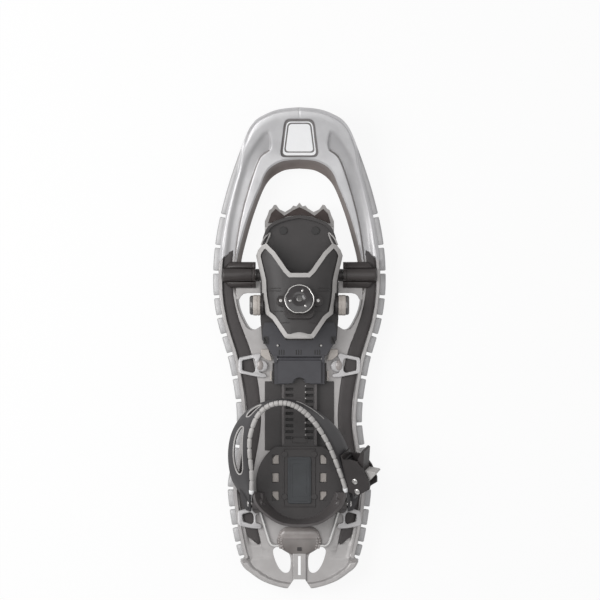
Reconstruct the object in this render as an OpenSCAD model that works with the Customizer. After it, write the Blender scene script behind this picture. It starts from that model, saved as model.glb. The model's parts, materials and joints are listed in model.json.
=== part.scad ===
// Snowshoe: a flexible composite deck that carries a pivoting binding with a dial
// closure, a sliding heel cup, an ankle strap with a ratchet buckle and a heel lifter.
// Millimetres, +Z up, toe toward +Y. The ground is at z = 0, under the spike tips.

/* [Deck] */
// Length over toe and tail
shoe_len = 555; // [530:1:590]
// Width at the axle, over the edge fins
shoe_w = 200; // [190:1:215]
// Width at the waist, over the fins
waist_w = 145; // [138:1:156]
// Width beside the heel, over the fins
heel_w = 166; // [158:1:180]
// Width at the tail corners
tail_w = 135; // [125:1:145]
// Height of the deck's underside over the spike tips
deck_z = 20; // [16:0.5:26]
// Thickness of the deck
deck_t = 4; // [3:0.1:5]
// Height of the front cover over the deck
cover_h = 3; // [2:0.1:4]
// How far the toe turns up
toe_rise = 36; // [20:1:50]
// Y where the toe starts to turn up
rise_start = 120; // [110:1:140]
// Width of the bead that runs inside the fins
rim_w = 4.5; // [3:0.1:6]
// Height of the bead over the deck
rim_h = 4; // [2:0.1:6]
// Width of the edge fins
fin_w = 6.5; // [4:0.1:8]
// How far the fins hang under the deck
fin_drop = 10; // [4:0.5:14]
// Distance from fin to fin
fin_pitch = 24.8; // [20:0.1:30]
// Gap between two fins
fin_gap = 3.6; // [2:0.1:6]

/* [Deck openings] */
// Length of the toe ahead of the foot opening
toe_len = 69.5; // [64:0.5:76]
// Y of the rear end of the foot opening
open_rear = 18; // [12:1:24]
// Width of the deck beside the foot opening
band_w = 30; // [27:0.5:33]
// Depth of the deck's bridge under each axle housing
bridge_d = 37; // [34:0.5:40]
// Width of the wall round the foot opening
wall_w = 5; // [3:0.5:7]
// Drop of that wall under the deck
wall_drop = 8; // [2:0.5:12]

/* [Deck fittings] */
// Width of the dark strips
strip_w = 14; // [10:0.5:16]
// Depth that the strips are let into the deck
strip_t = 2.5; // [1:0.1:3]
// Height of the braces over the deck
brace_h = 5; // [3:0.1:5.5]
// Y of the mid braces' studs
mid_brace_y = -20.5; // [-26:0.5:-14]
// Distance of the rear braces behind the lifter's axis
brace_back = 23; // [21:0.5:28]
// Diameter of a spike at its root
spike_d = 12; // [9:0.5:16]
// Thickness of the bare plate on the toe
badge_t = 1.2; // [0.6:0.1:2]

/* [Axle] */
// Y of the binding's axle
axle_y = 85; // [82:0.5:88]
// Diameter of the axle
axle_d = 8; // [6:0.5:9]
// Radial running clearance of the pins
run_gap = 0.05; // [0.02:0.01:0.1]
// Depth of the axle housings along Y
housing_d = 30; // [24:0.5:34]
// Height of the housings over the axle
housing_h = 12; // [10:0.5:14]

/* [Binding] */
// Height of the binding plate's underside
plate_z = 32; // [31.5:0.1:34]
// Thickness of the binding plate
plate_t = 4; // [3:0.1:5]
// Width of the binding plate at the axle
plate_w = 90; // [88:0.5:92]
// Y of the front of the binding plate
plate_front = 154; // [148:1:158]
// Length of the claw ahead of the plate
claw_out = 15; // [10:0.5:20]
// Thickness of the claw
claw_t = 2.8; // [2:0.1:4]
// Wall of the forefoot shell
shell_t = 3; // [2:0.1:4]
// Height of the shell's crown at the front, over the plate
crown_front = 27; // [22:0.5:32]
// Height of the shell's crown at the back, over the plate
crown_back = 52; // [46:0.5:58]
// Width of the shell's pale rim
shell_rim_w = 5; // [3.5:0.1:6]

/* [Dial and knobs] */
// Y of the dial
dial_y = 54.5; // [52:0.5:58]
// Diameter of the dial
dial_d = 34; // [28:0.5:38]
// Height of the dial
dial_h = 9; // [6:0.5:12]
// Lean of the dial toward the toe, degrees
dial_tilt = 12; // [8:0.5:16]
// Y of the side knobs
knob_y = 50; // [47:0.5:52]
// Diameter of the side knobs
knob_d = 24; // [20:0.5:26]
// Height of the knobs' axis over the plate
knob_up = 13; // [12.5:0.5:16]

/* [Length setting] */
// Width of the toothed rail
rail_w = 41; // [38:0.5:44]
// Thickness of the rail
rail_t = 4; // [3:0.1:4.2]
// Pitch of the rail's teeth
tooth_pitch = 7; // [6:0.1:8]
// Clearance of the sliding rail
slide_gap = 0.4; // [0.3:0.05:0.6]
// Width of the latch flap
latch_w = 50; // [44:0.5:54]
// Length of the latch flap
latch_len = 28; // [25:0.5:30]

/* [Heel] */
// Y of the middle of the heel plate
heel_y = -155; // [-158:0.5:-152]
// Radius of the heel plate
heel_r = 50; // [47:0.5:51]
// Thickness of the heel plate
heel_t = 4; // [3:0.1:5]
// Height of the heel cup
cup_h = 28; // [22:0.5:34]
// Wall of the heel cup
cup_t = 3; // [2:0.1:4]

/* [Strap] */
// Thickness of the ankle strap
strap_t = 3; // [2:0.1:3.5]
// Diameter of the ribbed roll on its upper edge
roll_d = 6; // [5:0.1:7]
// Count of ribs on the roll
ribs = 44; // [20:1:60]
// Width of the ratchet buckle
buckle_h = 20; // [16:0.5:24]
// Length of the ratchet buckle
buckle_len = 46; // [40:0.5:50]

/* [Heel lifter] */
// Diameter of the lifter's wire
wire_d = 3.5; // [3:0.1:4]
// Height of the lifter's axis
wire_z = 27; // [26.5:0.1:27.5]
// Distance of the lifter's axis from the tail end
wire_in = 105.5; // [103:0.5:108]

/* [Hidden] */
$fn = 40;
toe_y = shoe_len / 2;
tail_y = -shoe_len / 2;
wire_y = tail_y + wire_in;
deck_top = deck_z + deck_t;
hw = shoe_w / 2;
ww = waist_w / 2;
bw = heel_w / 2;
tw = tail_w / 2;
plate_top = plate_z + plate_t;
barrel_r = 8;
axle_z = plate_top - barrel_r;
bush_r = axle_d / 2 + 1.6;
soft_gap = 0.3;
plate_hw = plate_w / 2;
shell_hw = 50;
rear_brace_y = wire_y - brace_back;

// Points of the deck's edge from the toe down the right side
edge_points = [
  [0, toe_y], [22, toe_y - 2.2], [38, toe_y - 7.5], [52, toe_y - 16.5], [63, toe_y - 35.5],
  [hw - 17.3, 187], [hw - 4, 131], [hw, 80], [hw - 4.6, 34], [hw - 19.7, -21],
  [ww, -80], [bw - 3.5, -135], [bw, -165], [bw - 7, -216], [tw, tail_y + 29.5]
];
tail_points = [[tw - 12, tail_y + 17], [tw - 28, tail_y + 7], [16, tail_y], [0, tail_y]];

// Points of the foot opening from its front end down the right side
ow = hw - band_w;
open_front = toe_y - toe_len;
open_points = [
  [0, open_front], [ow - 50, open_front - 3], [ow - 32.4, open_front - 17],
  [ow - 18.6, open_front - 49], [ow - 7.6, 122], [ow - 2, 95], [ow, 57], [ow - 7, 34],
  [ow - 18, open_rear + 4], [ow - 40, open_rear], [0, open_rear]
];

// Smooth curve through points, with n steps between each pair
function tangent(p, i) = (p[min(i + 1, len(p) - 1)] - p[max(i - 1, 0)]) / 2;
function hermite(a, b, u, v, t) =
  a * (2 * t * t * t - 3 * t * t + 1) + u * (t * t * t - 2 * t * t + t)
  + b * (3 * t * t - 2 * t * t * t) + v * (t * t * t - t * t);
function smooth(p, n) = concat(
  [for (i = [0:len(p) - 2]) for (k = [0:n - 1])
    hermite(p[i], p[i + 1], tangent(p, i), tangent(p, i + 1), k / n)],
  [p[len(p) - 1]]
);
function unit(v) = v / norm(v);
function right(v) = [v[1], -v[0]];
function mirrored(half) = concat(
  half, [for (i = [len(half) - 1:-1:0]) if (half[i][0] > 0.01) [-half[i][0], half[i][1]]]
);

// Moves each point of a closed clockwise outline inward by d
function inset(p, d) = [
  for (i = [0:len(p) - 1])
    let (
      a = p[(i + len(p) - 1) % len(p)],
      b = p[(i + 1) % len(p)],
      m = right(unit(p[i] - a)),
      n = right(unit(b - p[i]))
    )
    p[i] + d * (m + n) / (1 + m * n)
];
edge_curve = smooth(edge_points, 4);
deck_outline = mirrored(concat(edge_curve, tail_points));
open_outline = mirrored(smooth(open_points, 4));

// Point of the deck's edge at a given y, and its inward direction there
function edge_index(y) = [for (i = [0:len(edge_curve) - 2])
  if (edge_curve[i][1] >= y && edge_curve[i + 1][1] < y) i][0];
function edge_at(y) =
  let (
    i = edge_index(y),
    a = edge_curve[i],
    b = edge_curve[i + 1]
  )
  a + (b - a) * (a[1] - y) / (a[1] - b[1]);
function edge_dir(y) = let (i = edge_index(y)) unit(edge_curve[i + 1] - edge_curve[i]);

// Rise of the toe over the flat deck
rise_len = toe_y - rise_start;
rise_r = (rise_len * rise_len + toe_rise * toe_rise) / (2 * toe_rise);
function rise(y) = y <= rise_start ? 0 : rise_r - sqrt(rise_r * rise_r - pow(y - rise_start, 2));
rise_steps = 14;
side_line = concat(
  [[tail_y - 20, 0]],
  [for (i = [0:rise_steps]) let (y = rise_start + (rise_len + 12) * i / rise_steps) [y, rise(y)]]
);

module along_x(width) {
  rotate([90, 0, 90])
    linear_extrude(height = width, center = true)
      children();
}

// Extrudes a plan shape between two heights that follow the turned-up toe
module risen(z0, z1) {
  intersection() {
    linear_extrude(height = deck_top + toe_rise + 40)
      children();
    along_x(shoe_w + 20)
      polygon(concat(
        [for (p = side_line) [p[0], p[1] + z0]],
        [for (i = [len(side_line) - 1:-1:0]) [side_line[i][0], side_line[i][1] + z1]]
      ));
  }
}

module both() {
  children();
  mirror([1, 0, 0])
    children();
}

module tail_cuts() {
  polygon([[-13, tail_y - 6], [-5.5, tail_y + 9.3], [5.5, tail_y + 9.3], [13, tail_y - 6]]);
  spine_slot();
  both()
    translate([0, tail_y])
      polygon(smooth([
        [20, 48], [24.5, 48.5], [30, 44], [28, 33], [23, 22.5], [17, 17.8], [12, 20],
        [11, 28.5], [11.2, 37.5], [14.6, 43.5]
      ], 2));
}

first_fin = 154.3;
fin_count = floor((first_fin - tail_y - 30) / fin_pitch);
module fin_cuts() {
  both()
    for (i = [0:fin_count]) {
      y = first_fin - i * fin_pitch;
      p = edge_at(y);
      d = edge_dir(y);
      translate(p)
        rotate(atan2(d[1], d[0]))
          translate([-fin_gap / 2, -fin_w])
            square([fin_gap, fin_w + 3]);
    }
}

// Dark strips, laid out from the deck's edge
strip_top = 106;
strip_end = -226;
strip_in = fin_w + rim_w + 1;
function strip_side(d) = [
  for (i = [1:len(edge_curve) - 2])
    if (edge_curve[i][1] < strip_top && edge_curve[i][1] > strip_end)
      edge_curve[i] + d * unit(right(edge_curve[i + 1] - edge_curve[i - 1]))
];
function reversed(p) = [for (i = [len(p) - 1:-1:0]) p[i]];
module strip_plan(gap) {
  difference() {
    polygon(concat(strip_side(strip_in + gap), reversed(strip_side(strip_in + strip_w - gap))));
    translate([0, axle_y - housing_d / 2 - 1])
      square([shoe_w, housing_d + 2]);
  }
}

// Spikes under the deck
spike_spots = [[hw - 20, 128], [hw - 22, 36], [43, mid_brace_y], [56, rear_brace_y]];
stud_d = 6;
blind = deck_t - strip_t - 0.5;

housing_in = shell_hw + soft_gap + 0.2;
housing_floor = deck_z + deck_t / 2;
housing_out = hw - fin_w - rim_w;
module housing_profile() {
  w = housing_d / 2;
  t = axle_z + housing_h;
  polygon([
    [-w, housing_floor], [-w, axle_z], [-w + 4, t - 4], [-w + 10, t],
    [w - 10, t], [w - 4, t - 4], [w, axle_z], [w, housing_floor]
  ]);
}

// Bridges that carry the housings, between the front opening and the eyes behind it
module bridge_plan() {
  both()
    translate([housing_in, axle_y + housing_d / 2 + 1 - bridge_d])
      square([ow - housing_in + 2, bridge_d]);
}

fin_root = 1;
module deck_frame() {
  color("silver")
    difference() {
      union() {
        risen(deck_z, deck_top)
          difference() {
            polygon(inset(deck_outline, fin_w));
            difference() {
              polygon(open_outline);
              bridge_plan();
            }
            tail_cuts();
          }
        risen(deck_z - fin_drop, deck_top - 1.5)
          difference() {
            polygon(deck_outline);
            polygon(inset(deck_outline, fin_w + fin_root));
            fin_cuts();
            tail_cuts();
          }
        risen(deck_z, deck_top + rim_h)
          difference() {
            polygon(inset(deck_outline, fin_w));
            polygon(inset(deck_outline, fin_w + rim_w));
            tail_cuts();
          }
        risen(deck_z - wall_drop, deck_top + 1)
          difference() {
            polygon(inset(open_outline, -wall_w));
            polygon(open_outline);
          }
        risen(deck_z, deck_top + cover_h)
          difference() {
            intersection() {
              polygon(inset(deck_outline, fin_w));
              translate([-shoe_w, strip_top + 2])
                square([2 * shoe_w, toe_y]);
            }
            polygon(open_outline);
            badge_plan(0.4);
          }
      }
      both() {
        translate([0, 0, deck_top - strip_t])
          linear_extrude(height = strip_t + 1)
            strip_plan(0);
        translate([0, axle_y - housing_d / 2 - 0.2, housing_floor])
          cube([housing_out + 0.2, housing_d + 0.4, 60]);
        for (p = spike_spots)
          translate([p[0], p[1], deck_z - 5])
            cylinder(d = stud_d + 0.2, h = p[0] < 50 ? 40 : 5 + blind + 0.1);
      }
    }
}

module strip(side) {
  color("dimgray")
    mirror([side < 0 ? 1 : 0, 0, 0])
      translate([0, 0, deck_top - strip_t])
        linear_extrude(height = strip_t)
          strip_plan(0.2);
}
module strip_left() { strip(-1); }
module strip_right() { strip(1); }

module centre_pad() {
  color("dimgray")
    translate([-40, -118, deck_top])
      cube([80, 80, 1.2]);
}

module badge_plan(out) {
  translate([0, toe_y - 34])
    polygon(mirrored([
      [0, 21.5 + out], [14 + out, 21.5 + out], [16.5 + out, 19], [23.5 + out, -18],
      [21.5 + out, -21 - out], [0, -21 - out]
    ]));
}
module toe_badge() {
  color("white")
    risen(deck_top, deck_top + badge_t)
      badge_plan(0);
}

// Braces that carry the spikes beside the binding
brace_gap = 0.3;
function brace_out(y) = edge_at(y)[0] - fin_w - rim_w - brace_gap;
module mid_brace(side) {
  out = brace_out(mid_brace_y - 10);
  color("silver")
    mirror([side < 0 ? 1 : 0, 0, 0])
      translate([0, mid_brace_y, deck_top])
        difference() {
          union() {
            linear_extrude(height = brace_h)
              difference() {
                polygon([
                  [out, 10], [46, 14], [45.2, 9.5], [47, 4], [47, -4], [44, -8], [38, -8.5],
                  [38, -13], [46, -13], [out, -9.5]
                ]);
                polygon([
                  [out - 3, 5.5], [53, 8], [51.5, 2], [51.5, -2], [53, -7], [out - 3, -5.5]
                ]);
              }
            translate([43, 0, 0])
              cylinder(r = 7, h = brace_h);
          }
          translate([43, 0, -1])
            cylinder(d = stud_d + 0.2, h = 20);
        }
}
module mid_brace_left() { mid_brace(-1); }
module mid_brace_right() { mid_brace(1); }

module rear_brace(side) {
  out = brace_out(rear_brace_y - 10);
  color("silver")
    mirror([side < 0 ? 1 : 0, 0, 0])
      translate([0, rear_brace_y, deck_top])
        linear_extrude(height = brace_h)
          difference() {
            polygon([
              [out, 11], [58, 12.5], [49, 10.5], [49, 6], [52.5, 2], [52.5, -4], [46, -8],
              [45, -12.5], [58, -12.5], [out, -10.5]
            ]);
            polygon([[out - 3, 6], [57, 7.5], [55, 0], [57, -7], [out - 3, -5.5]]);
          }
}
module rear_brace_left() { rear_brace(-1); }
module rear_brace_right() { rear_brace(1); }

// Pale stops on the deck, beside the rear of the binding plate
module corner_stops() {
  color("wheat")
    both()
      translate([0, 0, deck_top])
        linear_extrude(height = plate_z - soft_gap - deck_top)
          polygon([[44.4, -1], [35.6, -1], [31.5, -14], [35.5, -14], [38.5, -12.6], [44.4, -8]]);
}

module deck_spikes() {
  color("gainsboro")
    both()
      for (p = spike_spots)
        translate([p[0], p[1], 0]) {
          cylinder(d1 = 2, d2 = spike_d - 3, h = deck_z - 5);
          translate([0, 0, deck_z - 5])
            cylinder(d = spike_d, h = 5);
          translate([0, 0, deck_z - 0.01])
            cylinder(d = stud_d, h = p[0] < 50 ? deck_t + brace_h : blind);
        }
}

module brace_studs() {
  color("gainsboro")
    both()
      translate([43, mid_brace_y, deck_top + brace_h])
        cylinder(d1 = 11, d2 = 9, h = 1.4);
}

module axle_housing(side) {
  color("dimgray")
    mirror([side < 0 ? 1 : 0, 0, 0])
      difference() {
        intersection() {
          translate([housing_in, axle_y, 0])
            rotate([90, 0, 90])
              linear_extrude(height = housing_out - housing_in)
                housing_profile();
          linear_extrude(height = 80)
            polygon([
              [housing_in, axle_y - housing_d / 2 - 1],
              [housing_out - 9, axle_y - housing_d / 2 - 1],
              [housing_out, axle_y - 6], [housing_out, axle_y + 6],
              [housing_out - 9, axle_y + housing_d / 2 + 1],
              [housing_in, axle_y + housing_d / 2 + 1]
            ]);
        }
        translate([0, axle_y, axle_z])
          rotate([0, 90, 0])
            cylinder(d = axle_d, h = axle_end);
        translate([axle_end - 1, axle_y, axle_z])
          rotate([0, 90, 0])
            cylinder(d = 4, h = 60);
        translate([housing_out - 3, axle_y, axle_z])
          rotate([0, 90, 0])
            cylinder(d = 8, h = 60);
      }
}
axle_end = housing_out - 8;
module axle_housing_left() { axle_housing(-1); }
module axle_housing_right() { axle_housing(1); }

module axle_rod() {
  color("gainsboro")
    difference() {
      translate([-axle_end, axle_y, axle_z])
        rotate([0, 90, 0])
          cylinder(d = axle_d, h = 2 * axle_end);
      both()
        translate([axle_end - 10, axle_y, axle_z])
          rotate([0, 90, 0])
            cylinder(d = 4, h = 20);
    }
}

module axle_screws() {
  color("gainsboro")
    both() {
      translate([axle_end - 9, axle_y, axle_z])
        rotate([0, 90, 0])
          cylinder(d = 4, h = 9 + 5);
      translate([housing_out - 3, axle_y, axle_z])
        rotate([0, 90, 0])
          cylinder(d = 7.6, h = 2.6);
    }
}

module heel_bumper() {
  color("dimgray")
    translate([-14, heel_y - 16, deck_top])
      cube([28, 32, plate_z - slide_gap - rail_t - soft_gap - deck_top]);
}

// Heel lifter, a wire bail that lies back over the tail
lug_in = heel_r + 1.5;
lug_w = 6;
grip_y = wire_y - 56;
module lifter_lugs() {
  color("silver")
    both()
      difference() {
        translate([lug_in, wire_y, 0])
          rotate([90, 0, 90])
            linear_extrude(height = lug_w)
              polygon([
                [-7, deck_top], [7, deck_top], [4, wire_z + 3.6], [-4, wire_z + 3.6]
              ]);
        translate([lug_in - 1, wire_y, wire_z])
          rotate([0, 90, 0])
            cylinder(d = wire_d + 2 * run_gap, h = lug_w + 2);
      }
}

slot_w = 3;
spine_front = grip_y - 16;
module spine_slot() {
  translate([-slot_w / 2, tail_y + 14])
    square([slot_w, spine_front - tail_y - 16]);
}
module tail_spine() {
  color("silver")
    translate([0, 0, deck_top])
      linear_extrude(height = wire_z - deck_top)
        difference() {
          polygon(mirrored([
            [0, spine_front], [9, spine_front], [10.5, tail_y + 18], [6, tail_y + 12], [0, tail_y + 12]
          ]));
          spine_slot();
        }
}

grip_in = 10;
wire_points = [
  [lug_in - 2.2, wire_y], [lug_in - 3.2, wire_y - 4], [lug_in - 6, wire_y - 16],
  [37.5, grip_y + 13], [34.5, grip_y + 4], [31, grip_y + 0.5], [27, grip_y], [grip_in, grip_y]
];
module tube(p, d, sides) {
  n = len(p);
  points = [
    for (i = [0:n - 1])
      let (t = unit(p[min(i + 1, n - 1)] - p[max(i - 1, 0)]), s = right(t))
      for (k = [0:sides - 1])
        let (a = 360 * k / sides)
        [p[i][0] + s[0] * cos(a) * d / 2, p[i][1] + s[1] * cos(a) * d / 2, sin(a) * d / 2]
  ];
  polyhedron(points = points, faces = tube_faces(n, sides));
}
function tube_faces(n, m) = concat(
  [[for (k = [m - 1:-1:0]) k]],
  [for (i = [0:n - 2]) for (k = [0:m - 1]) [i * m + k, i * m + (k + 1) % m, (i + 1) * m + k]],
  [for (i = [0:n - 2]) for (k = [0:m - 1])
    [i * m + (k + 1) % m, (i + 1) * m + (k + 1) % m, (i + 1) * m + k]],
  [[for (k = [0:m - 1]) (n - 1) * m + k]]
);
module lifter_wire() {
  color("gainsboro") {
    translate([0, 0, wire_z])
      tube(mirrored_path(smooth(wire_points, 2)), wire_d, 10);
    both()
      translate([lug_in - 3, wire_y, wire_z])
        rotate([0, 90, 0])
          cylinder(d = wire_d, h = lug_w + 4);
  }
}
function mirrored_path(p) = concat(p, [for (q = reversed(p)) [-q[0], q[1]]]);

// Low domed grip on the bail, under the heel plate's path
grip_low = deck_top + soft_gap;
grip_points = [
  [0, 22], [16, 22], [23, 17], [27, 6], [25.5, -4], [13, -13], [10, -15], [0, -15]
];
module lifter_grip() {
  grip_top = heel_z - slide_gap;
  color("gray")
    difference() {
      intersection() {
        translate([0, grip_y, 0])
          linear_extrude(height = 60)
            polygon(mirrored(grip_points));
        translate([0, grip_y, 0])
          along_x(80)
            polygon([
              [-15, grip_low], [22, grip_low], [22, grip_top - 3.5], [18, grip_top], [4, grip_top],
              [-10, grip_top - 2.4], [-15, grip_top - 4.5]
            ]);
      }
      translate([-40, grip_y, wire_z])
        rotate([0, 90, 0])
          cylinder(d = wire_d + 2 * run_gap, h = 80);
    }
}

// Binding plate with its hinge barrels, shell ears and rail guides
ear_in = plate_hw - 3.7;
ear_t = 3.2;
knob_z = plate_top + knob_up;
plate_rear = -8;
plate_outline = mirrored(concat(
  smooth([[0, plate_front], [21, plate_front - 4.5], [36, plate_front - 13], [42, plate_front - 26]], 3),
  [[plate_hw, 108], [plate_hw, 34], [43, 10], [31, plate_rear], [0, plate_rear]]
));
guide_in = rail_w / 2 + slide_gap;
module toe_plate() {
  color("dimgray")
    difference() {
      union() {
        translate([0, 0, plate_z])
          linear_extrude(height = plate_t)
            polygon(plate_outline);
        translate([0, 0, plate_z])
          linear_extrude(height = plate_t + 5)
            intersection() {
              difference() {
                polygon(plate_outline);
                polygon(inset(plate_outline, 3.5));
              }
              translate([-60, 112])
                square([120, 60]);
            }
        both() {
          translate([30, axle_y, axle_z])
            rotate([0, 90, 0])
              cylinder(r = barrel_r, h = plate_hw - 30);
          translate([30, axle_y - barrel_r, axle_z])
            cube([plate_hw - 30, 2 * barrel_r, plate_top - axle_z - 1]);
          translate([ear_in, knob_y - 10, plate_z])
            cube([ear_t, 20, knob_z - plate_z]);
          translate([ear_in, knob_y, knob_z])
            rotate([0, 90, 0])
              cylinder(r = 10, h = ear_t);
          translate([guide_in, plate_rear, plate_z - rail_t - 2 * slide_gap - 2])
            cube([3, 52, rail_t + 2 * slide_gap + 2]);
          translate([guide_in - 4.5, plate_rear, plate_z - rail_t - 2 * slide_gap - 2])
            cube([5, 52, 2]);
        }
      }
      translate([-60, axle_y, axle_z])
        rotate([0, 90, 0])
          cylinder(r = bush_r, h = 120);
      both() {
        translate([ear_in - 1, knob_y, knob_z])
          rotate([0, 90, 0])
            cylinder(d = stud_bolt_d, h = 10);
        translate([claw_screw_x, claw_screw_y, plate_z - 1])
          cylinder(d = 5, h = 10);
      }
    }
}
stud_bolt_d = 6;
claw_screw_x = 18.5;
claw_screw_y = plate_front - 18;

module axle_bushes() {
  color("wheat")
    both()
      translate([30, axle_y, axle_z])
        rotate([0, 90, 0])
          difference() {
            union() {
              cylinder(r = bush_r, h = plate_hw - 30);
              translate([0, 0, plate_hw - 30])
                cylinder(r = barrel_r - 1, h = housing_in - soft_gap - plate_hw);
            }
            translate([0, 0, -1])
              cylinder(d = axle_d + 2 * run_gap, h = 40);
          }
}

// Steel claw under the toe, bent down ahead of the plate
claw_bend = plate_front - 14;
claw_drop = 22;
claw_tip = plate_front + claw_out;
claw_line = [
  [axle_y + 12, plate_z], [claw_bend, plate_z], [claw_tip + 3, plate_z - claw_drop]
];
claw_points = [
  [0, claw_tip], [3.5, claw_tip - 4.5], [7, claw_tip - 3.5], [10, claw_tip - 7],
  [16.5, claw_tip - 11], [23, claw_tip - 8], [27, claw_tip - 2.5], [29.5, claw_tip - 3],
  [32, claw_tip - 7], [35, claw_tip - 9], [37, claw_tip - 15], [40, claw_tip - 22],
  [40, claw_tip - 32], [38, axle_y + 13], [0, axle_y + 13]
];
module bent(t, drop) {
  along_x(100)
    polygon(concat(
      [for (p = claw_line) [p[0], p[1] - drop]],
      [for (p = reversed(claw_line)) [p[0], p[1] - drop - t]]
    ));
}
module front_claw() {
  color("gainsboro")
    difference() {
      intersection() {
        linear_extrude(height = 60)
          polygon(mirrored(claw_points));
        bent(claw_t, 0);
      }
      both()
        translate([claw_screw_x, claw_screw_y, 0])
          cylinder(d = 5, h = 50);
    }
}

// Dark cover that sits on the bent part of the claw
module claw_cover() {
  color("dimgray")
    intersection() {
      linear_extrude(height = 60)
        polygon(mirrored([
          [0, claw_tip - 5.5], [7, claw_tip - 9], [16.5, claw_tip - 15.5],
          [26, claw_tip - 7.5], [31, claw_tip - 13], [34, claw_tip - 24],
          [27, plate_front - 8], [14, plate_front - 1.2], [0, plate_front + 0.4]
        ]));
      bent(1.5, -1.5);
      linear_extrude(height = plate_z + 1.5)
        difference() {
          translate([-60, 130])
            square([120, 60]);
          polygon(inset(plate_outline, -0.2));
        }
    }
}

module claw_screws() {
  color("gainsboro")
    both()
      translate([claw_screw_x, claw_screw_y, 0]) {
        translate([0, 0, plate_z - claw_t - 1])
          cylinder(d = 4.9, h = plate_t + claw_t + 1);
        translate([0, 0, plate_top])
          cylinder(d = 9, h = 2);
      }
}

// Forefoot shell: an arched form that is cut to its outline from above
shell_half = smooth([
  [shell_hw, 107], [46.5, 92], [43.3, 78], [42.8, 66], [41, 52], [38.5, 40]
], 2);
shell_outline = mirrored(concat(
  [[0, 87], [10, 87], [14, 91], [28, 111], [38, 121]],
  [[43, 119], [47.5, 113.5]], shell_half, [[31, 34], [17.5, 14], [14, 12], [0, 12]]
));
shell_front = 124;
shell_back = 6;
shell_steps = 9;
arch_steps = 20;
function shell_width(y) = lookup(y, [
  [6, 37], [40, 38.9], [52, 41.2], [66, 42.9], [78, 43.4], [92, 46.6], [107, 50.1], [124, 48]
]) - 0.2;
function crown(y) = crown_back + (crown_front - crown_back) * (y - shell_back)
  / (shell_front - shell_back);
function arch(y, out) = [
  for (k = [0:arch_steps])
    let (
      a = 180 * k / arch_steps,
      c = cos(a),
      s = sin(a),
      w = shell_width(y) + out,
      h = crown(y) + out
    )
    [w * sign(c) * pow(abs(c), 0.72), y, plate_top + soft_gap + h * pow(abs(s), 0.72)]
];
module arch_body(out, wall) {
  m = arch_steps + 1;
  rings = [
    for (i = [0:shell_steps])
      let (y = shell_back + (shell_front - shell_back) * i / shell_steps)
      concat(arch(y, out), reversed(arch(y, out - wall)))
  ];
  n = 2 * m;
  last = shell_steps * n;
  polyhedron(
    points = [for (r = rings) for (p = r) p],
    faces = concat(
      [for (i = [0:shell_steps - 1]) for (k = [0:n - 1])
        [i * n + k, (i + 1) * n + k, i * n + (k + 1) % n]],
      [for (i = [0:shell_steps - 1]) for (k = [0:n - 1])
        [i * n + (k + 1) % n, (i + 1) * n + k, (i + 1) * n + (k + 1) % n]],
      [for (k = [0:m - 2]) [k, k + 1, n - 2 - k]],
      [for (k = [0:m - 2]) [k, n - 2 - k, n - 1 - k]],
      [for (k = [0:m - 2]) [last + k, last + n - 2 - k, last + k + 1]],
      [for (k = [0:m - 2]) [last + k, last + n - 1 - k, last + n - 2 - k]]
    )
  );
}
module forefoot_shell() {
  color("dimgray")
    difference() {
      intersection() {
        arch_body(0, shell_t);
        linear_extrude(height = 120)
          polygon(inset(shell_outline, shell_rim_w + 0.1));
      }
      dial_frame()
        translate([0, 0, -40])
          cylinder(r = dial_neck_r + soft_gap, h = 60);
    }
}
module shell_rim() {
  color("lightgray")
    difference() {
      intersection() {
        arch_body(1.2, shell_t + 1.6);
        linear_extrude(height = 120)
          difference() {
            polygon(shell_outline);
            polygon(inset(shell_outline, shell_rim_w));
          }
      }
      both()
        translate([ear_in - 0.3, knob_y - 14, 0])
          cube([20, 28, 200]);
    }
}

// Pale tabs that tie the rim's front corners to the plate
module toe_tabs() {
  color("lightgray")
    both()
      translate([0, 0, plate_top + soft_gap])
        linear_extrude(height = 6)
          polygon([[29.5, 135], [32.5, 134], [36.5, 122.5], [32.5, 122.5]]);
}

// Dial closure on the crown of the shell
dial_z = plate_top + soft_gap + crown(dial_y);
dial_neck_r = 15;
module dial_frame() {
  translate([0, dial_y, dial_z])
    rotate([-dial_tilt, 0, 0])
      children();
}
flange_t = 3;
flange_z = 0.8;
module dial_housing() {
  color("dimgray")
    dial_frame()
      difference() {
        union() {
          translate([0, 0, -12])
            cylinder(r = dial_neck_r, h = 12 + flange_z + 0.01);
          translate([0, 0, flange_z])
            cylinder(r = dial_d / 2 + 2, h = flange_t);
          translate([-24, -6, flange_z])
            cube([48, 12, flange_t]);
        }
        translate([0, 0, -10])
          cylinder(r = dial_neck_r - 2, h = 30);
        both()
          translate([rivet_x, 0, -10])
            cylinder(d = 3.2, h = 20);
      }
}
rivet_x = 21.2;
module dial_rivets() {
  color("gainsboro")
    dial_frame()
      both()
        translate([rivet_x, 0, 0]) {
          translate([0, 0, -1.9])
            cylinder(d = 3, h = 1.9 + flange_z + flange_t);
          translate([0, 0, flange_z + flange_t])
            cylinder(d1 = 5, d2 = 3.4, h = 1.2);
        }
}
dial_foot = flange_z + flange_t + soft_gap;
module dial_knob() {
  color("dimgray")
    dial_frame()
      translate([0, 0, dial_foot])
        difference() {
          union() {
            cylinder(d = dial_d - 1, h = dial_h - 1.5);
            translate([0, 0, dial_h - 1.5])
              cylinder(d1 = dial_d - 5, d2 = dial_d - 8, h = 1.5);
          }
          for (a = [90, 210, 330])
            rotate(a)
              translate([9, 0, dial_h - 1.2])
                cylinder(d = 4, h = 4);
        }
}
module dial_ring() {
  color("gainsboro")
    dial_frame()
      translate([0, 0, dial_foot + dial_h - 1.5])
        difference() {
          cylinder(d = dial_d, h = 1.4);
          translate([0, 0, -1])
            cylinder(d = dial_d - 4.6, h = 4);
        }
}
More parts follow.
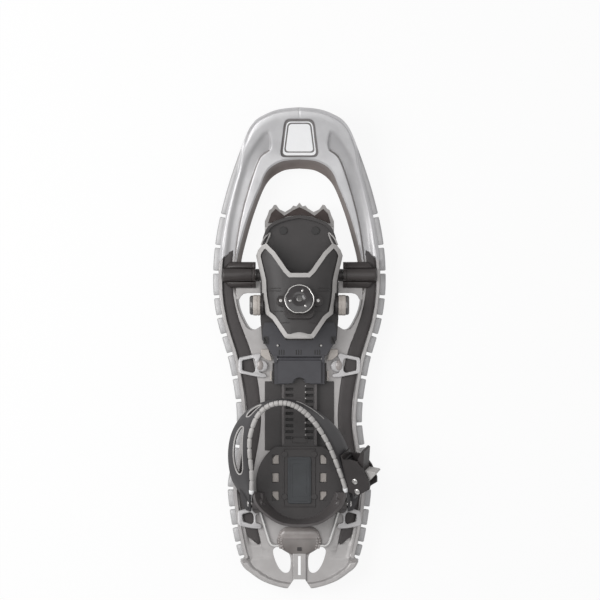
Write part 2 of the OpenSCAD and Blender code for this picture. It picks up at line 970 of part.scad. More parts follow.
module dial_spool() {
  color("gainsboro")
    dial_frame() {
      translate([0, 0, -9])
        cylinder(r = 11, h = 2);
      translate([0, 0, -7])
        cylinder(r = 7, h = 5);
      translate([0, 0, -2])
        cylinder(r = 11, h = dial_foot + 2);
    }
}

// Knobs on the shell's ears
knob_in = ear_in + ear_t + soft_gap;
module knob_studs() {
  color("gainsboro")
    both()
      translate([ear_in, knob_y, knob_z])
        rotate([0, 90, 0])
          cylinder(d = stud_bolt_d, h = ear_t + 11);
}
module knob(side) {
  color("tan")
    mirror([side < 0 ? 1 : 0, 0, 0])
      translate([knob_in, knob_y, knob_z])
        rotate([0, 90, 0])
          difference() {
            cylinder(d = knob_d, h = 6.5);
            translate([0, 0, -1])
              cylinder(d = stud_bolt_d + 2 * run_gap, h = 20);
          }
}
module knob_left() { knob(-1); }
module knob_right() { knob(1); }
module knob_cap(side) {
  color("gray")
    mirror([side < 0 ? 1 : 0, 0, 0])
      translate([knob_in + 6.5, knob_y, knob_z])
        rotate([0, 90, 0])
          difference() {
            cylinder(d1 = knob_d - 2, d2 = knob_d - 6, h = 6);
            translate([0, 0, -1])
              cylinder(d = stud_bolt_d + 2 * run_gap, h = 6);
          }
}
module knob_cap_left() { knob_cap(-1); }
module knob_cap_right() { knob_cap(1); }

// Cover over the rail, with the latch flap behind it
mid_top = plate_top + 3;
latch_y = -12;
latch_z = plate_top + 2.4;
cover_rear = latch_y - latch_len - 1;
screw_x = 24;
module mid_plate() {
  color("slategray")
    difference() {
      union() {
        translate([0, 0, plate_top])
          linear_extrude(height = 3)
            polygon(mirrored([
              [0, 9.5], [15, 9.5], [30, 30], [40, 30], [42.5, 22], [42.5, 9.5], [31, -7.5],
              [latch_w / 2 + 4, -9], [0, -9]
            ]));
        translate([0, 0, plate_z])
          linear_extrude(height = plate_t)
            polygon(mirrored([
              [0, plate_rear - 0.2], [latch_w / 2 + 4, plate_rear - 0.2],
              [latch_w / 2 + 4, cover_rear], [0, cover_rear]
            ]));
        both()
          translate([latch_w / 2 + 0.5, latch_y - 4, plate_top - 0.01])
            cube([3.5, 8, 5]);
      }
      translate([-60, latch_y, latch_z])
        rotate([0, 90, 0])
          cylinder(d = 3, h = 120);
      translate([-12, cover_rear - 1, plate_z - 1])
        cube([24, 12, 20]);
      both()
        translate([screw_x, 3.5, plate_z])
          cylinder(d = 3, h = 20);
    }
}
module mid_plate_screws() {
  color("gainsboro")
    both()
      translate([screw_x, 3.5, mid_top - 3]) {
        cylinder(d = 2.9, h = 3);
        translate([0, 0, 3])
          cylinder(d = 3.8, h = 1.2);
      }
}
module length_latch() {
  color("slategray")
    difference() {
      union() {
        translate([-latch_w / 2, latch_y - latch_len, plate_top + soft_gap])
          cube([latch_w, latch_len, 3]);
        translate([-latch_w / 2, latch_y, latch_z])
          rotate([0, 90, 0])
            cylinder(d = 2 * (latch_z - plate_top - soft_gap), h = latch_w);
        translate([-10, latch_y - latch_len, plate_z - slide_gap + soft_gap])
          cube([20, 4, plate_t + slide_gap + 1]);
      }
      translate([-60, latch_y, latch_z])
        rotate([0, 90, 0])
          cylinder(d = 3 + 2 * run_gap, h = 120);
      translate([0, latch_y - latch_len - 2, plate_z - 10])
        cylinder(r = 7, h = 40);
    }
}
module latch_pin() {
  color("gainsboro")
    translate([-latch_w / 2 - 4, latch_y, latch_z])
      rotate([0, 90, 0])
        cylinder(d = 3, h = latch_w + 8);
}

// Toothed rail that carries the heel
rail_z = plate_z - slide_gap - rail_t;
rail_front = 14;
rail_rear = heel_y - 22;
rack_top = -47;
rack_count = 9;
module rail() {
  color("dimgray")
    difference() {
      translate([-rail_w / 2, rail_rear, rail_z])
        cube([rail_w, rail_front - rail_rear, rail_t]);
      both()
        for (i = [0:rack_count - 1])
          translate([7, rack_top - i * tooth_pitch - 1.7, rail_z - 1])
            cube([9, 3.4, 10]);
      both()
        for (y = [heel_y + 33, heel_y - 16])
          translate([heel_screw_x, y, rail_z - 1])
            cylinder(d = 4, h = 10);
    }
}
heel_screw_x = 17;

heel_z = rail_z + rail_t;
heel_top = heel_z + heel_t;
heel_front = 42;
module heel_plan(out) {
  intersection() {
    circle(r = heel_r + out, $fn = 64);
    translate([-80, -80])
      square([160, 80 + heel_front]);
  }
}
module heel_plate() {
  color("dimgray")
    translate([0, heel_y, heel_z])
      difference() {
        linear_extrude(height = heel_t)
          difference() {
            heel_plan(0);
            both()
              for (y = [27, 6, -15])
                translate([23.5, y - 5.5])
                  square([8, 11]);
          }
        both()
          for (y = [33, -16])
            translate([heel_screw_x, y, -1])
              cylinder(d = 4, h = 10);
      }
}
module heel_pad() {
  color("slategray")
    translate([0, heel_y, heel_top])
      linear_extrude(height = 2)
        polygon(mirrored([[0, 30], [12, 30], [13.5, 28], [13.5, -22], [12, -24], [0, -24]]));
}
module heel_screws() {
  color("gainsboro")
    both()
      for (y = [33, -16])
        translate([heel_screw_x, heel_y + y, 0]) {
          translate([0, 0, rail_z + 0.2])
            cylinder(d = 3.9, h = heel_top - rail_z);
          translate([0, 0, heel_top])
            cylinder(d = 7, h = 1.5);
        }
}

// Heel cup: a flared wall between its round foot and its wider top edge
cup_foot_r = heel_r - 5;
cup_foot = mirrored([for (a = [-15, -24, -36, -55, -72, -90]) cup_foot_r * [cos(a), sin(a)]]);
cup_top = mirrored([
  [heel_r + 4, -10], [heel_r + 2.5, -20], [heel_r - 4, -30], [heel_r - 18.5, -42],
  [heel_r - 32.5, -48], [0, -49.5]
]);
function cup_curve(p, z) = smooth([for (q = p) [q[0], heel_y + q[1], z]], 3);
boss_r = 6.5;
module heel_cup() {
  color("dimgray")
    difference() {
      union() {
        band(cup_curve(cup_top, heel_top + cup_h), cup_curve(cup_foot, heel_top), -cup_t, 0);
        both()
          translate([cup_side - 2, pivot_y, pivot_z])
            rotate([0, 90, 0])
              cylinder(r = boss_r, h = strap_end - cup_side + 1);
      }
      pivot_bore(rivet_d);
    }
}
pivot_up = 15;
pivot_back = 23;
pivot_y = heel_y - pivot_back;
pivot_z = heel_top + pivot_up;
foot_side = sqrt(cup_foot_r * cup_foot_r - pivot_back * pivot_back);
cup_side = foot_side + (heel_r + 1 - foot_side) * pivot_up / cup_h;
module pivot_bore(d) {
  translate([-90, pivot_y, pivot_z])
    rotate([0, 90, 0])
      cylinder(d = d, h = 180);
}
rivet_d = 5;
head_d = 9;
strap_end = cup_side + 10.2;
rivet_out = strap_end + strap_t;
rivet_in = cup_side - 0.8 * cup_t;
module strap_rivets() {
  color("gainsboro")
    both() {
      translate([rivet_in, pivot_y, pivot_z])
        rotate([0, 90, 0])
          cylinder(d = rivet_d, h = rivet_out - rivet_in);
      translate([rivet_out, pivot_y, pivot_z])
        rotate([0, 90, 0])
          cylinder(d1 = head_d, d2 = head_d - 2, h = 1.5);
    }
}

// Ankle strap: a band between an upper and a lower edge, laid out from the rivets' axis
upper_edge = from_pivot([
  [-strap_end, -9, 6.5], [-strap_end, 0, 10], [-56, 17.5, 16.5], [-56, 38.5, 26.5], [-55.5, 59.5, 36.5],
  [-52, 79.5, 44.5], [-43, 100, 52.5], [-31, 111.5, 57.5], [-18, 116, 60.5], [-5, 113.5, 60.5],
  [8, 104.5, 56.5], [20, 91, 50.5], [30, 75, 43.5], [38, 58.5, 35.5], [45, 40.5, 27.5],
  [52, 20, 18.5], [strap_end, 0, 10], [strap_end, -9, 6.5]
]);
lower_edge = from_pivot([
  [-strap_end, -9, -6.5], [-strap_end, 0, -9.5], [-66, 12, -8.5], [-76.5, 30, -4], [-80, 55.5, 4.5],
  [-76, 80.5, 13.5], [-65, 102, 24.5], [-48, 115, 34.5], [-27, 122, 41.5], [-7, 121, 42.5],
  [11, 113.5, 38.5], [28, 101, 31.5], [43, 84.5, 22.5], [53, 65.5, 13.5], [59, 45, 5.5],
  [60, 22, -3.5], [strap_end, 0, -9.5], [strap_end, -9, -6.5]
]);
function from_pivot(p) = [for (q = p) q + [0, pivot_y, pivot_z]];
function band_ring(u, l, t, d0, d1) =
  let (n = unit(cross(u - l, t)))
  [l + n * d0, u + n * d0, u + n * d1, l + n * d1];
module band(u, l, d0, d1) {
  n = len(u);
  points = [
    for (i = [0:n - 1])
      let (t = u[min(i + 1, n - 1)] + l[min(i + 1, n - 1)] - u[max(i - 1, 0)] - l[max(i - 1, 0)])
      for (p = band_ring(u[i], l[i], t, d0, d1)) p
  ];
  polyhedron(points = points, faces = tube_faces(n, 4));
}
upper_curve = smooth(upper_edge, 3);
lower_curve = smooth(lower_edge, 3);
function between(f) = [for (i = [0:len(upper_curve) - 1])
  lower_curve[i] + (upper_curve[i] - lower_curve[i]) * f];
strap_fine = 6;
upper_fine = smooth(upper_edge, strap_fine);
lower_fine = smooth(lower_edge, strap_fine);
window_one = [0.26, 0.76, 18, 33];
window_two = [0.28, 0.74, 36, 44];
trim_f = 0.07;
trim_gap = 0.008;
module ankle_strap() {
  color("dimgray")
    difference() {
      band(between(0.95), between(0), 0, strap_t);
      translate([0, pivot_y, pivot_z])
        rotate([0, 90, 0])
          cylinder(d = rivet_d + 2 * run_gap, h = 160, center = true);
      both()
        translate([rivet_out - soft_gap, pivot_y, pivot_z])
          rotate([0, 90, 0])
            cylinder(d = head_d + 2 * soft_gap, h = 20);
      strap_window(window_one, 0);
      strap_window(window_two, 0);
      buckle_frame()
        translate([-soft_gap, -buckle_len / 2 - soft_gap, -buckle_h / 2 - soft_gap])
          cube([20, buckle_len + 2 * soft_gap, buckle_h + 2 * soft_gap]);
    }
}
module fine_band(f0, f1, a, b, d0, d1) {
  points = [
    for (i = [a:b])
      let (
        t = upper_fine[i + 1] + lower_fine[i + 1] - upper_fine[i - 1] - lower_fine[i - 1],
        w = upper_fine[i] - lower_fine[i]
      )
      for (p = band_ring(lower_fine[i] + w * f1, lower_fine[i] + w * f0, t, d0, d1)) p
  ];
  polyhedron(points = points, faces = tube_faces(b - a + 1, 4));
}
module strap_window(w, in) {
  fine_band(w[0] + in * trim_f, w[1] - in * trim_f, w[2] + in, w[3] - in, -10, 12);
}
module strap_trim() {
  color("lightgray") {
    trim_ring(window_one);
    trim_ring(window_two);
  }
}
module trim_ring(w) {
  difference() {
    fine_band(w[0] + trim_gap, w[1] - trim_gap, w[2], w[3], soft_gap, strap_t + 0.8);
    strap_window(w, 1);
  }
}
module strap_roll() {
  color("lightgray")
    difference() {
      rib_tube();
      band(between(0.95), between(0), 0, strap_t);
    }
}
function on_curve(p, f) =
  let (
    x = f * (len(p) - 1),
    i = min(floor(x), len(p) - 2)
  )
  p[i] + (p[i + 1] - p[i]) * (x - i);
roll_from = 0.12;
module rib_tube() {
  c = [for (i = [0:2 * ribs]) on_curve(upper_fine, roll_from + (1 - 2 * roll_from) * i / (2 * ribs))];
  n = len(c);
  m = 8;
  points = [
    for (i = [0:n - 1])
      let (
        t = unit(c[min(i + 1, n - 1)] - c[max(i - 1, 0)]),
        s = unit(cross(t, [0, 0, 1])),
        v = cross(s, t),
        r = roll_d / 2 - (i % 2 == 0 ? 0.7 : 0)
      )
      for (k = [0:m - 1])
        let (a = 360 * k / m)
        c[i] + s * cos(a) * r + v * sin(a) * r
  ];
  polyhedron(points = points, faces = tube_faces(n, m));
}

// Ratchet buckle, seated on the outer face of the strap's right side
buckle_at = 85;
buckle_low = lower_fine[buckle_at];
buckle_top = upper_fine[buckle_at];
buckle_y = unit(lower_fine[buckle_at - 7] + upper_fine[buckle_at - 7]
  - lower_fine[buckle_at + 7] - upper_fine[buckle_at + 7]);
buckle_x = unit(cross(buckle_y, buckle_top - buckle_low));
buckle_up = cross(buckle_x, buckle_y);
buckle_spot = (buckle_low + buckle_top) / 2 + buckle_x * (strap_t + 3 * soft_gap);
module buckle_frame() {
  multmatrix([
    [buckle_x[0], buckle_y[0], buckle_up[0], buckle_spot[0]],
    [buckle_x[1], buckle_y[1], buckle_up[1], buckle_spot[1]],
    [buckle_x[2], buckle_y[2], buckle_up[2], buckle_spot[2]],
    [0, 0, 0, 1]
  ])
    children();
}
cheek_t = 2;
pin_d = 3;
pin_at = [12, -22];
pawl_at = [12, -9];
module buckle_base() {
  color("dimgray")
    buckle_frame()
      difference() {
        union() {
          translate([0, -buckle_len / 2, -buckle_h / 2])
            cube([2, buckle_len, buckle_h]);
          for (z = [-buckle_h / 2, buckle_h / 2 - cheek_t])
            translate([0, 0, z])
              linear_extrude(height = cheek_t)
                polygon([
                  [0, -buckle_len / 2], [7, -26.5], [12, -27.5], [29, -18.5], [30.5, -12], [27, 4],
                  [21, 15.5], [12, 18], [0, 18]
                ]);
        }
        for (p = [pin_at, pawl_at])
          translate([p[0], p[1], -20])
            cylinder(d = pin_d, h = 40);
      }
}
module buckle_pins() {
  color("gainsboro")
    buckle_frame()
      for (p = [pin_at, pawl_at])
        translate([p[0], p[1], 0]) {
          translate([0, 0, -buckle_h / 2])
            cylinder(d = pin_d, h = buckle_h);
          translate([0, 0, buckle_h / 2])
            cylinder(d1 = pin_d + 4, d2 = pin_d + 2, h = 1.4);
          translate([0, 0, -buckle_h / 2 - 1.4])
            cylinder(d1 = pin_d + 2, d2 = pin_d + 4, h = 1.4);
        }
}
inner_h = buckle_h - 2 * cheek_t - 2 * soft_gap;
module ratchet_lever() {
  color("dimgray")
    buckle_frame()
      translate([0, 0, -inner_h / 2])
        difference() {
          linear_extrude(height = inner_h)
            polygon([
              [9.2, -24.1], [13.3, -25.5], [22, -18.5], [25.5, -7], [25, 7], [28, 18], [31, 28],
              [28.5, 29.5], [21, 19], [18, 10], [16.6, 0], [16.3, -12.5], [13.8, -18], [8.8, -19]
            ]);
          translate([pin_at[0], pin_at[1], -1])
            cylinder(d = pin_d + 2 * run_gap, h = 40);
        }
}
module lever_tab() {
  color("lightgray")
    buckle_frame()
      translate([0, 0, -inner_h / 2 + 2])
        linear_extrude(height = inner_h - 4)
          polygon([[25.2, 3], [38.5, 1.5], [39.5, -0.5], [27, -11.5], [25.5, -7]]);
}
module ratchet_pawl() {
  color("gainsboro")
    buckle_frame()
      translate([0, 0, -inner_h / 2])
        difference() {
          linear_extrude(height = inner_h)
            polygon([
              [14.2, -11.5], [14.3, -8], [12.5, -5], [5.6, 2.5], [5.2, 0.5], [8.5, -8], [9.5, -11.5]
            ]);
          translate([pawl_at[0], pawl_at[1], -1])
            cylinder(d = pin_d + 2 * run_gap, h = 40);
        }
}

// Toothed strap that runs through the buckle
ladder_t = 2.4;
module ladder_strap() {
  color("dimgray")
    buckle_frame()
      translate([2 + soft_gap, -34, -6.5])
        difference() {
          cube([ladder_t, 62, 13]);
          for (i = [0:11])
            translate([ladder_t - 0.8, 4 + 4.8 * i, -1])
              cube([3, 2.4, 20]);
        }
}

deck_frame();
strip_left();
strip_right();
centre_pad();
toe_badge();
mid_brace_left();
mid_brace_right();
rear_brace_left();
rear_brace_right();
corner_stops();
deck_spikes();
brace_studs();
axle_housing_left();
axle_housing_right();
axle_rod();
axle_screws();
heel_bumper();
lifter_lugs();
tail_spine();
lifter_wire();
lifter_grip();
toe_plate();
axle_bushes();
front_claw();
claw_cover();
claw_screws();
forefoot_shell();
shell_rim();
toe_tabs();
dial_housing();
dial_rivets();
mid_plate();
mid_plate_screws();
dial_knob();
dial_ring();
dial_spool();
knob_studs();
knob_left();
knob_cap_left();
knob_right();
knob_cap_right();
length_latch();
latch_pin();
rail();
heel_plate();
heel_pad();
heel_cup();
heel_screws();
strap_rivets();
ankle_strap();
strap_roll();
strap_trim();
ladder_strap();
buckle_base();
buckle_pins();
ratchet_lever();
lever_tab();
ratchet_pawl();
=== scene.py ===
import json
import math

import bpy
import numpy as np
from mathutils import Matrix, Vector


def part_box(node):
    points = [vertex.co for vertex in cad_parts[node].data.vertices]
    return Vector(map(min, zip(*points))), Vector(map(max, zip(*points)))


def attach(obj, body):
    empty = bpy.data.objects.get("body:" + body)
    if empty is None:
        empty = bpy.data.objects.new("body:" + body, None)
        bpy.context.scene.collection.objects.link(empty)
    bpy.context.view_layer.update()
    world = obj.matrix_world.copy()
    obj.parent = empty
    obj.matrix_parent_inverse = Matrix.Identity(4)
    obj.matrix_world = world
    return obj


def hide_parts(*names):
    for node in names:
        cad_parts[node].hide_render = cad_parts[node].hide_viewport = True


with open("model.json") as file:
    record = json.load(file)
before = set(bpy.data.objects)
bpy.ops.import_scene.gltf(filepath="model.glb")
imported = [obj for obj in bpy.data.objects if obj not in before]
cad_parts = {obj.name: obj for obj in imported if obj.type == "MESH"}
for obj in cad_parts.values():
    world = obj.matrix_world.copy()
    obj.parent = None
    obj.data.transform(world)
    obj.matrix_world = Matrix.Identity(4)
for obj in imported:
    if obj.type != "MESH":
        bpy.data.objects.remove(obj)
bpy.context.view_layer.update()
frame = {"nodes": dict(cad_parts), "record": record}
body_of = {n: b for b, names in frame["record"]["behaviour"]["bodies"].items() for n in names}
MM = 0.001
CAMERA_HEIGHT = 5.0
DECK_HEIGHT = 0.024
VIEW_WIDTH = 0.694
SENSOR = 36


# Camera, straight down on the snowshoe, as the photograph looks
def set_up_camera():
    bpy.ops.object.select_all(action="DESELECT")
    bpy.ops.object.camera_add(location=(0.0007, 0.056, CAMERA_HEIGHT), rotation=(0, 0, 0))
    camera = bpy.context.object
    camera.data.sensor_width = SENSOR
    camera.data.lens = SENSOR * (CAMERA_HEIGHT - DECK_HEIGHT) / VIEW_WIDTH
    camera.data.clip_end = 30
    bpy.context.scene.camera = camera


def set_up_light():
    for name, spot, turn, size, power in (
        ("key_panel", (-0.95, 0.2, 1.1), (-0.13, -0.71, 0), 0.9, 12.8),
        ("side_panel", (1.4, -0.3, 1.5), (0.14, 0.74, 0), 1.1, 2.2),
        ("top_panel", (0.1, 0.2, 2.6), (0, 0, 0), 1.6, 10),
    ):
        bpy.ops.object.select_all(action="DESELECT")
        bpy.ops.object.light_add(type="AREA", location=spot, rotation=turn)
        panel = bpy.context.object
        panel.name = name
        panel.data.size = size
        panel.data.energy = power
    world = bpy.data.worlds.new("studio")
    world.use_nodes = True
    bpy.context.scene.world = world
    sky = world.node_tree.nodes["Background"]
    sky.inputs["Color"].default_value = (1, 1, 1, 1)
    sky.inputs["Strength"].default_value = 0.4
    bpy.context.scene.view_settings.view_transform = "Standard"


def shader_node(tree, kind, **sockets):
    """A shader node with some of its sockets set."""
    made = tree.nodes.new("ShaderNode" + kind)
    for name, value in sockets.items():
        made.inputs[name.replace("_", " ")].default_value = value
    return made


def math_node(tree, operation, second=None):
    made = shader_node(tree, "Math")
    made.operation = operation
    if second is not None:
        made.inputs[1].default_value = second
    return made


def join_nodes(tree, *pairs):
    for start, end in pairs:
        tree.links.new(start, end)


def lay_floor():
    """Pale paper that keeps the shadow and shows as a white ground."""
    bpy.ops.object.select_all(action="DESELECT")
    bpy.ops.mesh.primitive_plane_add(size=14, location=(0, 0, 0))
    floor = bpy.context.object
    floor.name = "studio_floor"
    paper = bpy.data.materials.new("studio_paper")
    paper.use_nodes = True
    tree = paper.node_tree
    tree.nodes.clear()
    out = shader_node(tree, "OutputMaterial")
    matt = shader_node(tree, "BsdfDiffuse", Color=(0.86, 0.86, 0.86, 1))
    white_light = shader_node(tree, "Emission", Strength=1)
    path = shader_node(tree, "LightPath")
    seen = math_node(tree, "MAXIMUM")
    seen_too = math_node(tree, "MAXIMUM")
    share = math_node(tree, "MULTIPLY", 0.9)
    mix = shader_node(tree, "MixShader")
    join_nodes(
        tree,
        (path.outputs["Is Camera Ray"], seen.inputs[0]),
        (path.outputs["Is Glossy Ray"], seen.inputs[1]),
        (seen.outputs[0], seen_too.inputs[0]),
        (path.outputs["Is Transmission Ray"], seen_too.inputs[1]),
        (seen_too.outputs[0], share.inputs[0]),
        (share.outputs[0], mix.inputs[0]),
        (matt.outputs[0], mix.inputs[1]),
        (white_light.outputs[0], mix.inputs[2]),
        (mix.outputs[0], out.inputs["Surface"]),
    )
    floor.data.materials.append(paper)


# Finishes
GRAIN_HEIGHT = 0.0002
# Flat grey that the cover's sunk panels are painted towards, as painted shade.
POCKET_SHADE_GREY = (0.30, 0.295, 0.30, 1)


def moulded(name, dark, light, rough, grain, depth, metal=0.0, coat=0.0, patch=60.0, shade_attribute=None):
    """A moulded finish: slow colour drift, uneven gloss and a fine grain, from Object coordinates; with a point
    attribute given, painted shade mixed towards a flat grey.
    """
    mat = bpy.data.materials.new(name)
    mat.use_nodes = True
    tree = mat.node_tree
    bsdf = tree.nodes["Principled BSDF"]
    bsdf.inputs["Metallic"].default_value = metal
    bsdf.inputs["Coat Weight"].default_value = coat
    bsdf.inputs["Coat Roughness"].default_value = 0.12
    where = shader_node(tree, "TexCoord").outputs["Object"]
    drift = shader_node(tree, "TexNoise", Scale=patch, Detail=6)
    tint = shader_node(tree, "ValToRGB")
    for stop, spot, paint in zip(tint.color_ramp.elements, (0.3, 0.7), (dark, light)):
        stop.position = spot
        stop.color = (*paint, 1)
    fine = shader_node(tree, "TexNoise", Scale=grain, Detail=3)
    gloss = shader_node(tree, "MapRange", To_Min=rough - 0.06, To_Max=rough + 0.08)
    bump = shader_node(tree, "Bump", Strength=depth, Distance=GRAIN_HEIGHT)
    colour = tint.outputs["Color"]
    join_nodes(
        tree,
        (where, drift.inputs["Vector"]),
        (where, fine.inputs["Vector"]),
        (drift.outputs["Fac"], tint.inputs["Fac"]),
    )
    # Painted shade: a point attribute mixes the colour towards a flat grey where it is set.
    if shade_attribute:
        mark = shader_node(tree, "Attribute")
        mark.attribute_name = shade_attribute
        share = math_node(tree, "MULTIPLY", 0.5)
        pocket_shade = shader_node(tree, "Mix")
        pocket_shade.data_type = "RGBA"
        pocket_shade.inputs[7].default_value = POCKET_SHADE_GREY
        join_nodes(
            tree, (mark.outputs["Fac"], share.inputs[0]), (share.outputs[0], pocket_shade.inputs[0]), (colour, pocket_shade.inputs[6])
        )
        colour = pocket_shade.outputs[2]
    join_nodes(
        tree,
        (colour, bsdf.inputs["Base Color"]),
        (drift.outputs["Fac"], gloss.inputs["Value"]),
        (gloss.outputs["Result"], bsdf.inputs["Roughness"]),
        (fine.outputs["Fac"], bump.inputs["Height"]),
        (bump.outputs["Normal"], bsdf.inputs["Normal"]),
    )
    return mat


# The silver cover carries painted shade in its sunk panels, from the pocket attribute.
silver = moulded(
    "silver_composite", (0.55, 0.545, 0.555), (0.62, 0.615, 0.625), 0.34, 2200, 0.2, metal=0.25, shade_attribute="pocket"
)
smoke = moulded("smoke_composite", (0.38, 0.365, 0.36), (0.45, 0.435, 0.43), 0.38, 2200, 0.2, metal=0.25)
# Painted shade: a darker taupe for the sloped wall round the front opening.
wall_shade_taupe = moulded("taupe_composite", (0.175, 0.15, 0.14), (0.225, 0.195, 0.185), 0.5, 1800, 0.25, metal=0.1)
fin_grey = moulded("fin_composite", (0.415, 0.411, 0.415), (0.48, 0.476, 0.48), 0.4, 2200, 0.3, metal=0.15)
strip_brown = moulded("strip_rubber", (0.044, 0.038, 0.038), (0.058, 0.051, 0.051), 0.55, 3000, 0.35)
housing_brown = moulded("housing_nylon", (0.040, 0.034, 0.033), (0.052, 0.045, 0.044), 0.4, 2600, 0.25)
black = moulded("black_nylon", (0.031, 0.027, 0.027), (0.041, 0.036, 0.036), 0.44, 2600, 0.3)
gloss_black = moulded("gloss_nylon", (0.038, 0.035, 0.035), (0.050, 0.046, 0.046), 0.5, 2600, 0.12)
strap_black = moulded("strap_rubber", (0.040, 0.038, 0.040), (0.052, 0.049, 0.052), 0.5, 1500, 0.5)
blue_grey = moulded("blue_grey_nylon", (0.043, 0.042, 0.049), (0.056, 0.055, 0.063), 0.45, 2600, 0.3)
slate = moulded("slate_pad", (0.040, 0.043, 0.047), (0.051, 0.055, 0.060), 0.55, 1800, 0.5)
pale = moulded("pale_rubber", (0.42, 0.405, 0.395), (0.49, 0.475, 0.465), 0.5, 2400, 0.3)
beige = moulded("beige_nylon", (0.43, 0.395, 0.365), (0.52, 0.48, 0.445), 0.45, 2400, 0.25)
white = moulded("bare_label", (0.86, 0.86, 0.87), (0.90, 0.90, 0.91), 0.3, 900, 0.05)
# Grey for the label's frames; the outer band is partly painted shadow along the recess edge.
frame_grey_and_shadow = moulded("label_frame_and_shadow", (0.15, 0.14, 0.14), (0.20, 0.19, 0.19), 0.45, 2200, 0.2)
steel = moulded("bright_steel", (0.60, 0.585, 0.57), (0.74, 0.725, 0.71), 0.26, 3200, 0.1, metal=1.0, patch=140)
zinc = moulded("zinc_plate", (0.46, 0.445, 0.435), (0.56, 0.545, 0.535), 0.42, 3200, 0.2, metal=0.5, patch=140)
# A plain dark brown steel for the claw's cover.
claw_brown = moulded(
    "dark_brown_steel", (0.062, 0.048, 0.045), (0.088, 0.070, 0.066), 0.5, 2400, 0.4, metal=0.3, patch=90
)
dark_steel = moulded("dark_steel", (0.14, 0.135, 0.135), (0.20, 0.195, 0.19), 0.38, 3000, 0.2, metal=0.7, patch=120)
# Painted shadow: a dark grey line along the step in the front cover.
step_shadow_grey = moulded("painted_step_shadow", (0.26, 0.245, 0.24), (0.32, 0.30, 0.295), 0.45, 2200, 0.2, metal=0.15)
jet = moulded("jet_nylon", (0.011, 0.010, 0.010), (0.018, 0.016, 0.016), 0.4, 2600, 0.2)
dial_black = moulded("polished_nylon", (0.030, 0.027, 0.028), (0.042, 0.038, 0.039), 0.2, 1800, 0.04, coat=0.4)
wire_steel = moulded("bright_wire", (0.62, 0.61, 0.60), (0.72, 0.71, 0.70), 0.36, 900, 0.02, metal=0.5)
brace_grey = moulded("brace_composite", (0.47, 0.46, 0.465), (0.54, 0.53, 0.535), 0.36, 2200, 0.2, metal=0.25)
cup_black = moulded("cup_nylon", (0.082, 0.074, 0.074), (0.104, 0.095, 0.095), 0.46, 2600, 0.25)
pane_beige = moulded("pane_nylon", (0.33, 0.30, 0.28), (0.40, 0.37, 0.345), 0.5, 2400, 0.25)
# Painted shade: a darker copy of the smoky nylon for the thumb piece's rear slope.
dome_shade = moulded("smoky_nylon_painted_shade", (0.17, 0.152, 0.145), (0.23, 0.21, 0.20), 0.3, 2400, 0.08, coat=0.3)
dome_grey = moulded("smoky_nylon", (0.30, 0.27, 0.26), (0.39, 0.36, 0.35), 0.24, 2400, 0.08, coat=0.5)


# Making and finishing a piece
def skin(name, rings, caps=(True, True)):
    """A grid pulled over rings of points in millimetres, joined into a tube and closed at its ends."""
    bpy.ops.object.select_all(action="DESELECT")
    bpy.ops.mesh.primitive_grid_add(x_subdivisions=len(rings[0]), y_subdivisions=len(rings) - 1, size=1)
    ob = bpy.context.object
    ob.name = name
    spots = np.array([[*r, r[0]] for r in rings], float) * MM
    ob.data.vertices.foreach_set("co", spots.reshape(-1))
    bpy.ops.object.mode_set(mode="EDIT")
    bpy.ops.mesh.select_all(action="SELECT")
    bpy.ops.mesh.remove_doubles(threshold=1e-6)
    bpy.ops.object.mode_set(mode="OBJECT")
    for end, wanted in ((rings[0], caps[0]), (rings[-1], caps[1])):
        if wanted:
            close_end(ob, end)
    outward(ob)
    return ob


def close_end(ob, ring):
    """Closes a tube with one face over the points of its end ring."""
    spots = np.array(ring) * MM
    bpy.ops.object.mode_set(mode="EDIT")
    bpy.ops.mesh.select_mode(type="VERT")
    bpy.ops.mesh.select_all(action="DESELECT")
    bpy.ops.object.mode_set(mode="OBJECT")
    for v in ob.data.vertices:
        v.select = bool(np.abs(spots - np.array(v.co)).max(axis=1).min() < 1e-6)
    bpy.ops.object.mode_set(mode="EDIT")
    bpy.ops.mesh.edge_face_add()
    bpy.ops.object.mode_set(mode="OBJECT")


def outward(ob):
    """Turns all faces to the outside."""
    take(ob)
    bpy.ops.object.mode_set(mode="EDIT")
    bpy.ops.mesh.select_all(action="SELECT")
    bpy.ops.mesh.normals_make_consistent(inside=False)
    bpy.ops.object.mode_set(mode="OBJECT")


def take(ob):
    bpy.ops.object.select_all(action="DESELECT")
    ob.select_set(True)
    bpy.context.view_layer.objects.active = ob


def pick_faces(ob, wanted):
    """Selects the wanted faces of a piece and leaves it in edit mode."""
    take(ob)
    bpy.ops.object.mode_set(mode="EDIT")
    bpy.ops.mesh.select_mode(type="FACE")
    bpy.ops.mesh.select_all(action="DESELECT")
    bpy.ops.object.mode_set(mode="OBJECT")
    for face in ob.data.polygons:
        face.select = wanted(face)
    bpy.ops.object.mode_set(mode="EDIT")


def use(ob, kind, **values):
    """Puts a modifier on a piece and applies it."""
    take(ob)
    step = ob.modifiers.new(kind.lower(), kind)
    for key, value in values.items():
        setattr(step, key, value)
    bpy.ops.object.modifier_apply(modifier=step.name)
    return ob


def soften(ob, width, segments=2, angle=32, smooth=40):
    """Rounds the edges and keeps the flat faces flat in the shading."""
    if width:
        use(ob, "BEVEL", width=width * MM, segments=segments, limit_method="ANGLE", angle_limit=math.radians(angle))
    take(ob)
    bpy.ops.object.shade_smooth_by_angle(angle=math.radians(smooth))
    if width:
        use(ob, "WEIGHTED_NORMAL", keep_sharp=True)
    return ob


def twin(ob):
    """The same piece on the other side of the shoe, in one mesh."""
    return use(ob, "MIRROR", merge_threshold=1e-5)


def cut(ob, tool):
    """Takes a tool's shape out of a piece."""
    use(ob, "BOOLEAN", operation="DIFFERENCE", solver="EXACT", object=tool)
    bpy.data.objects.remove(tool)
    return ob


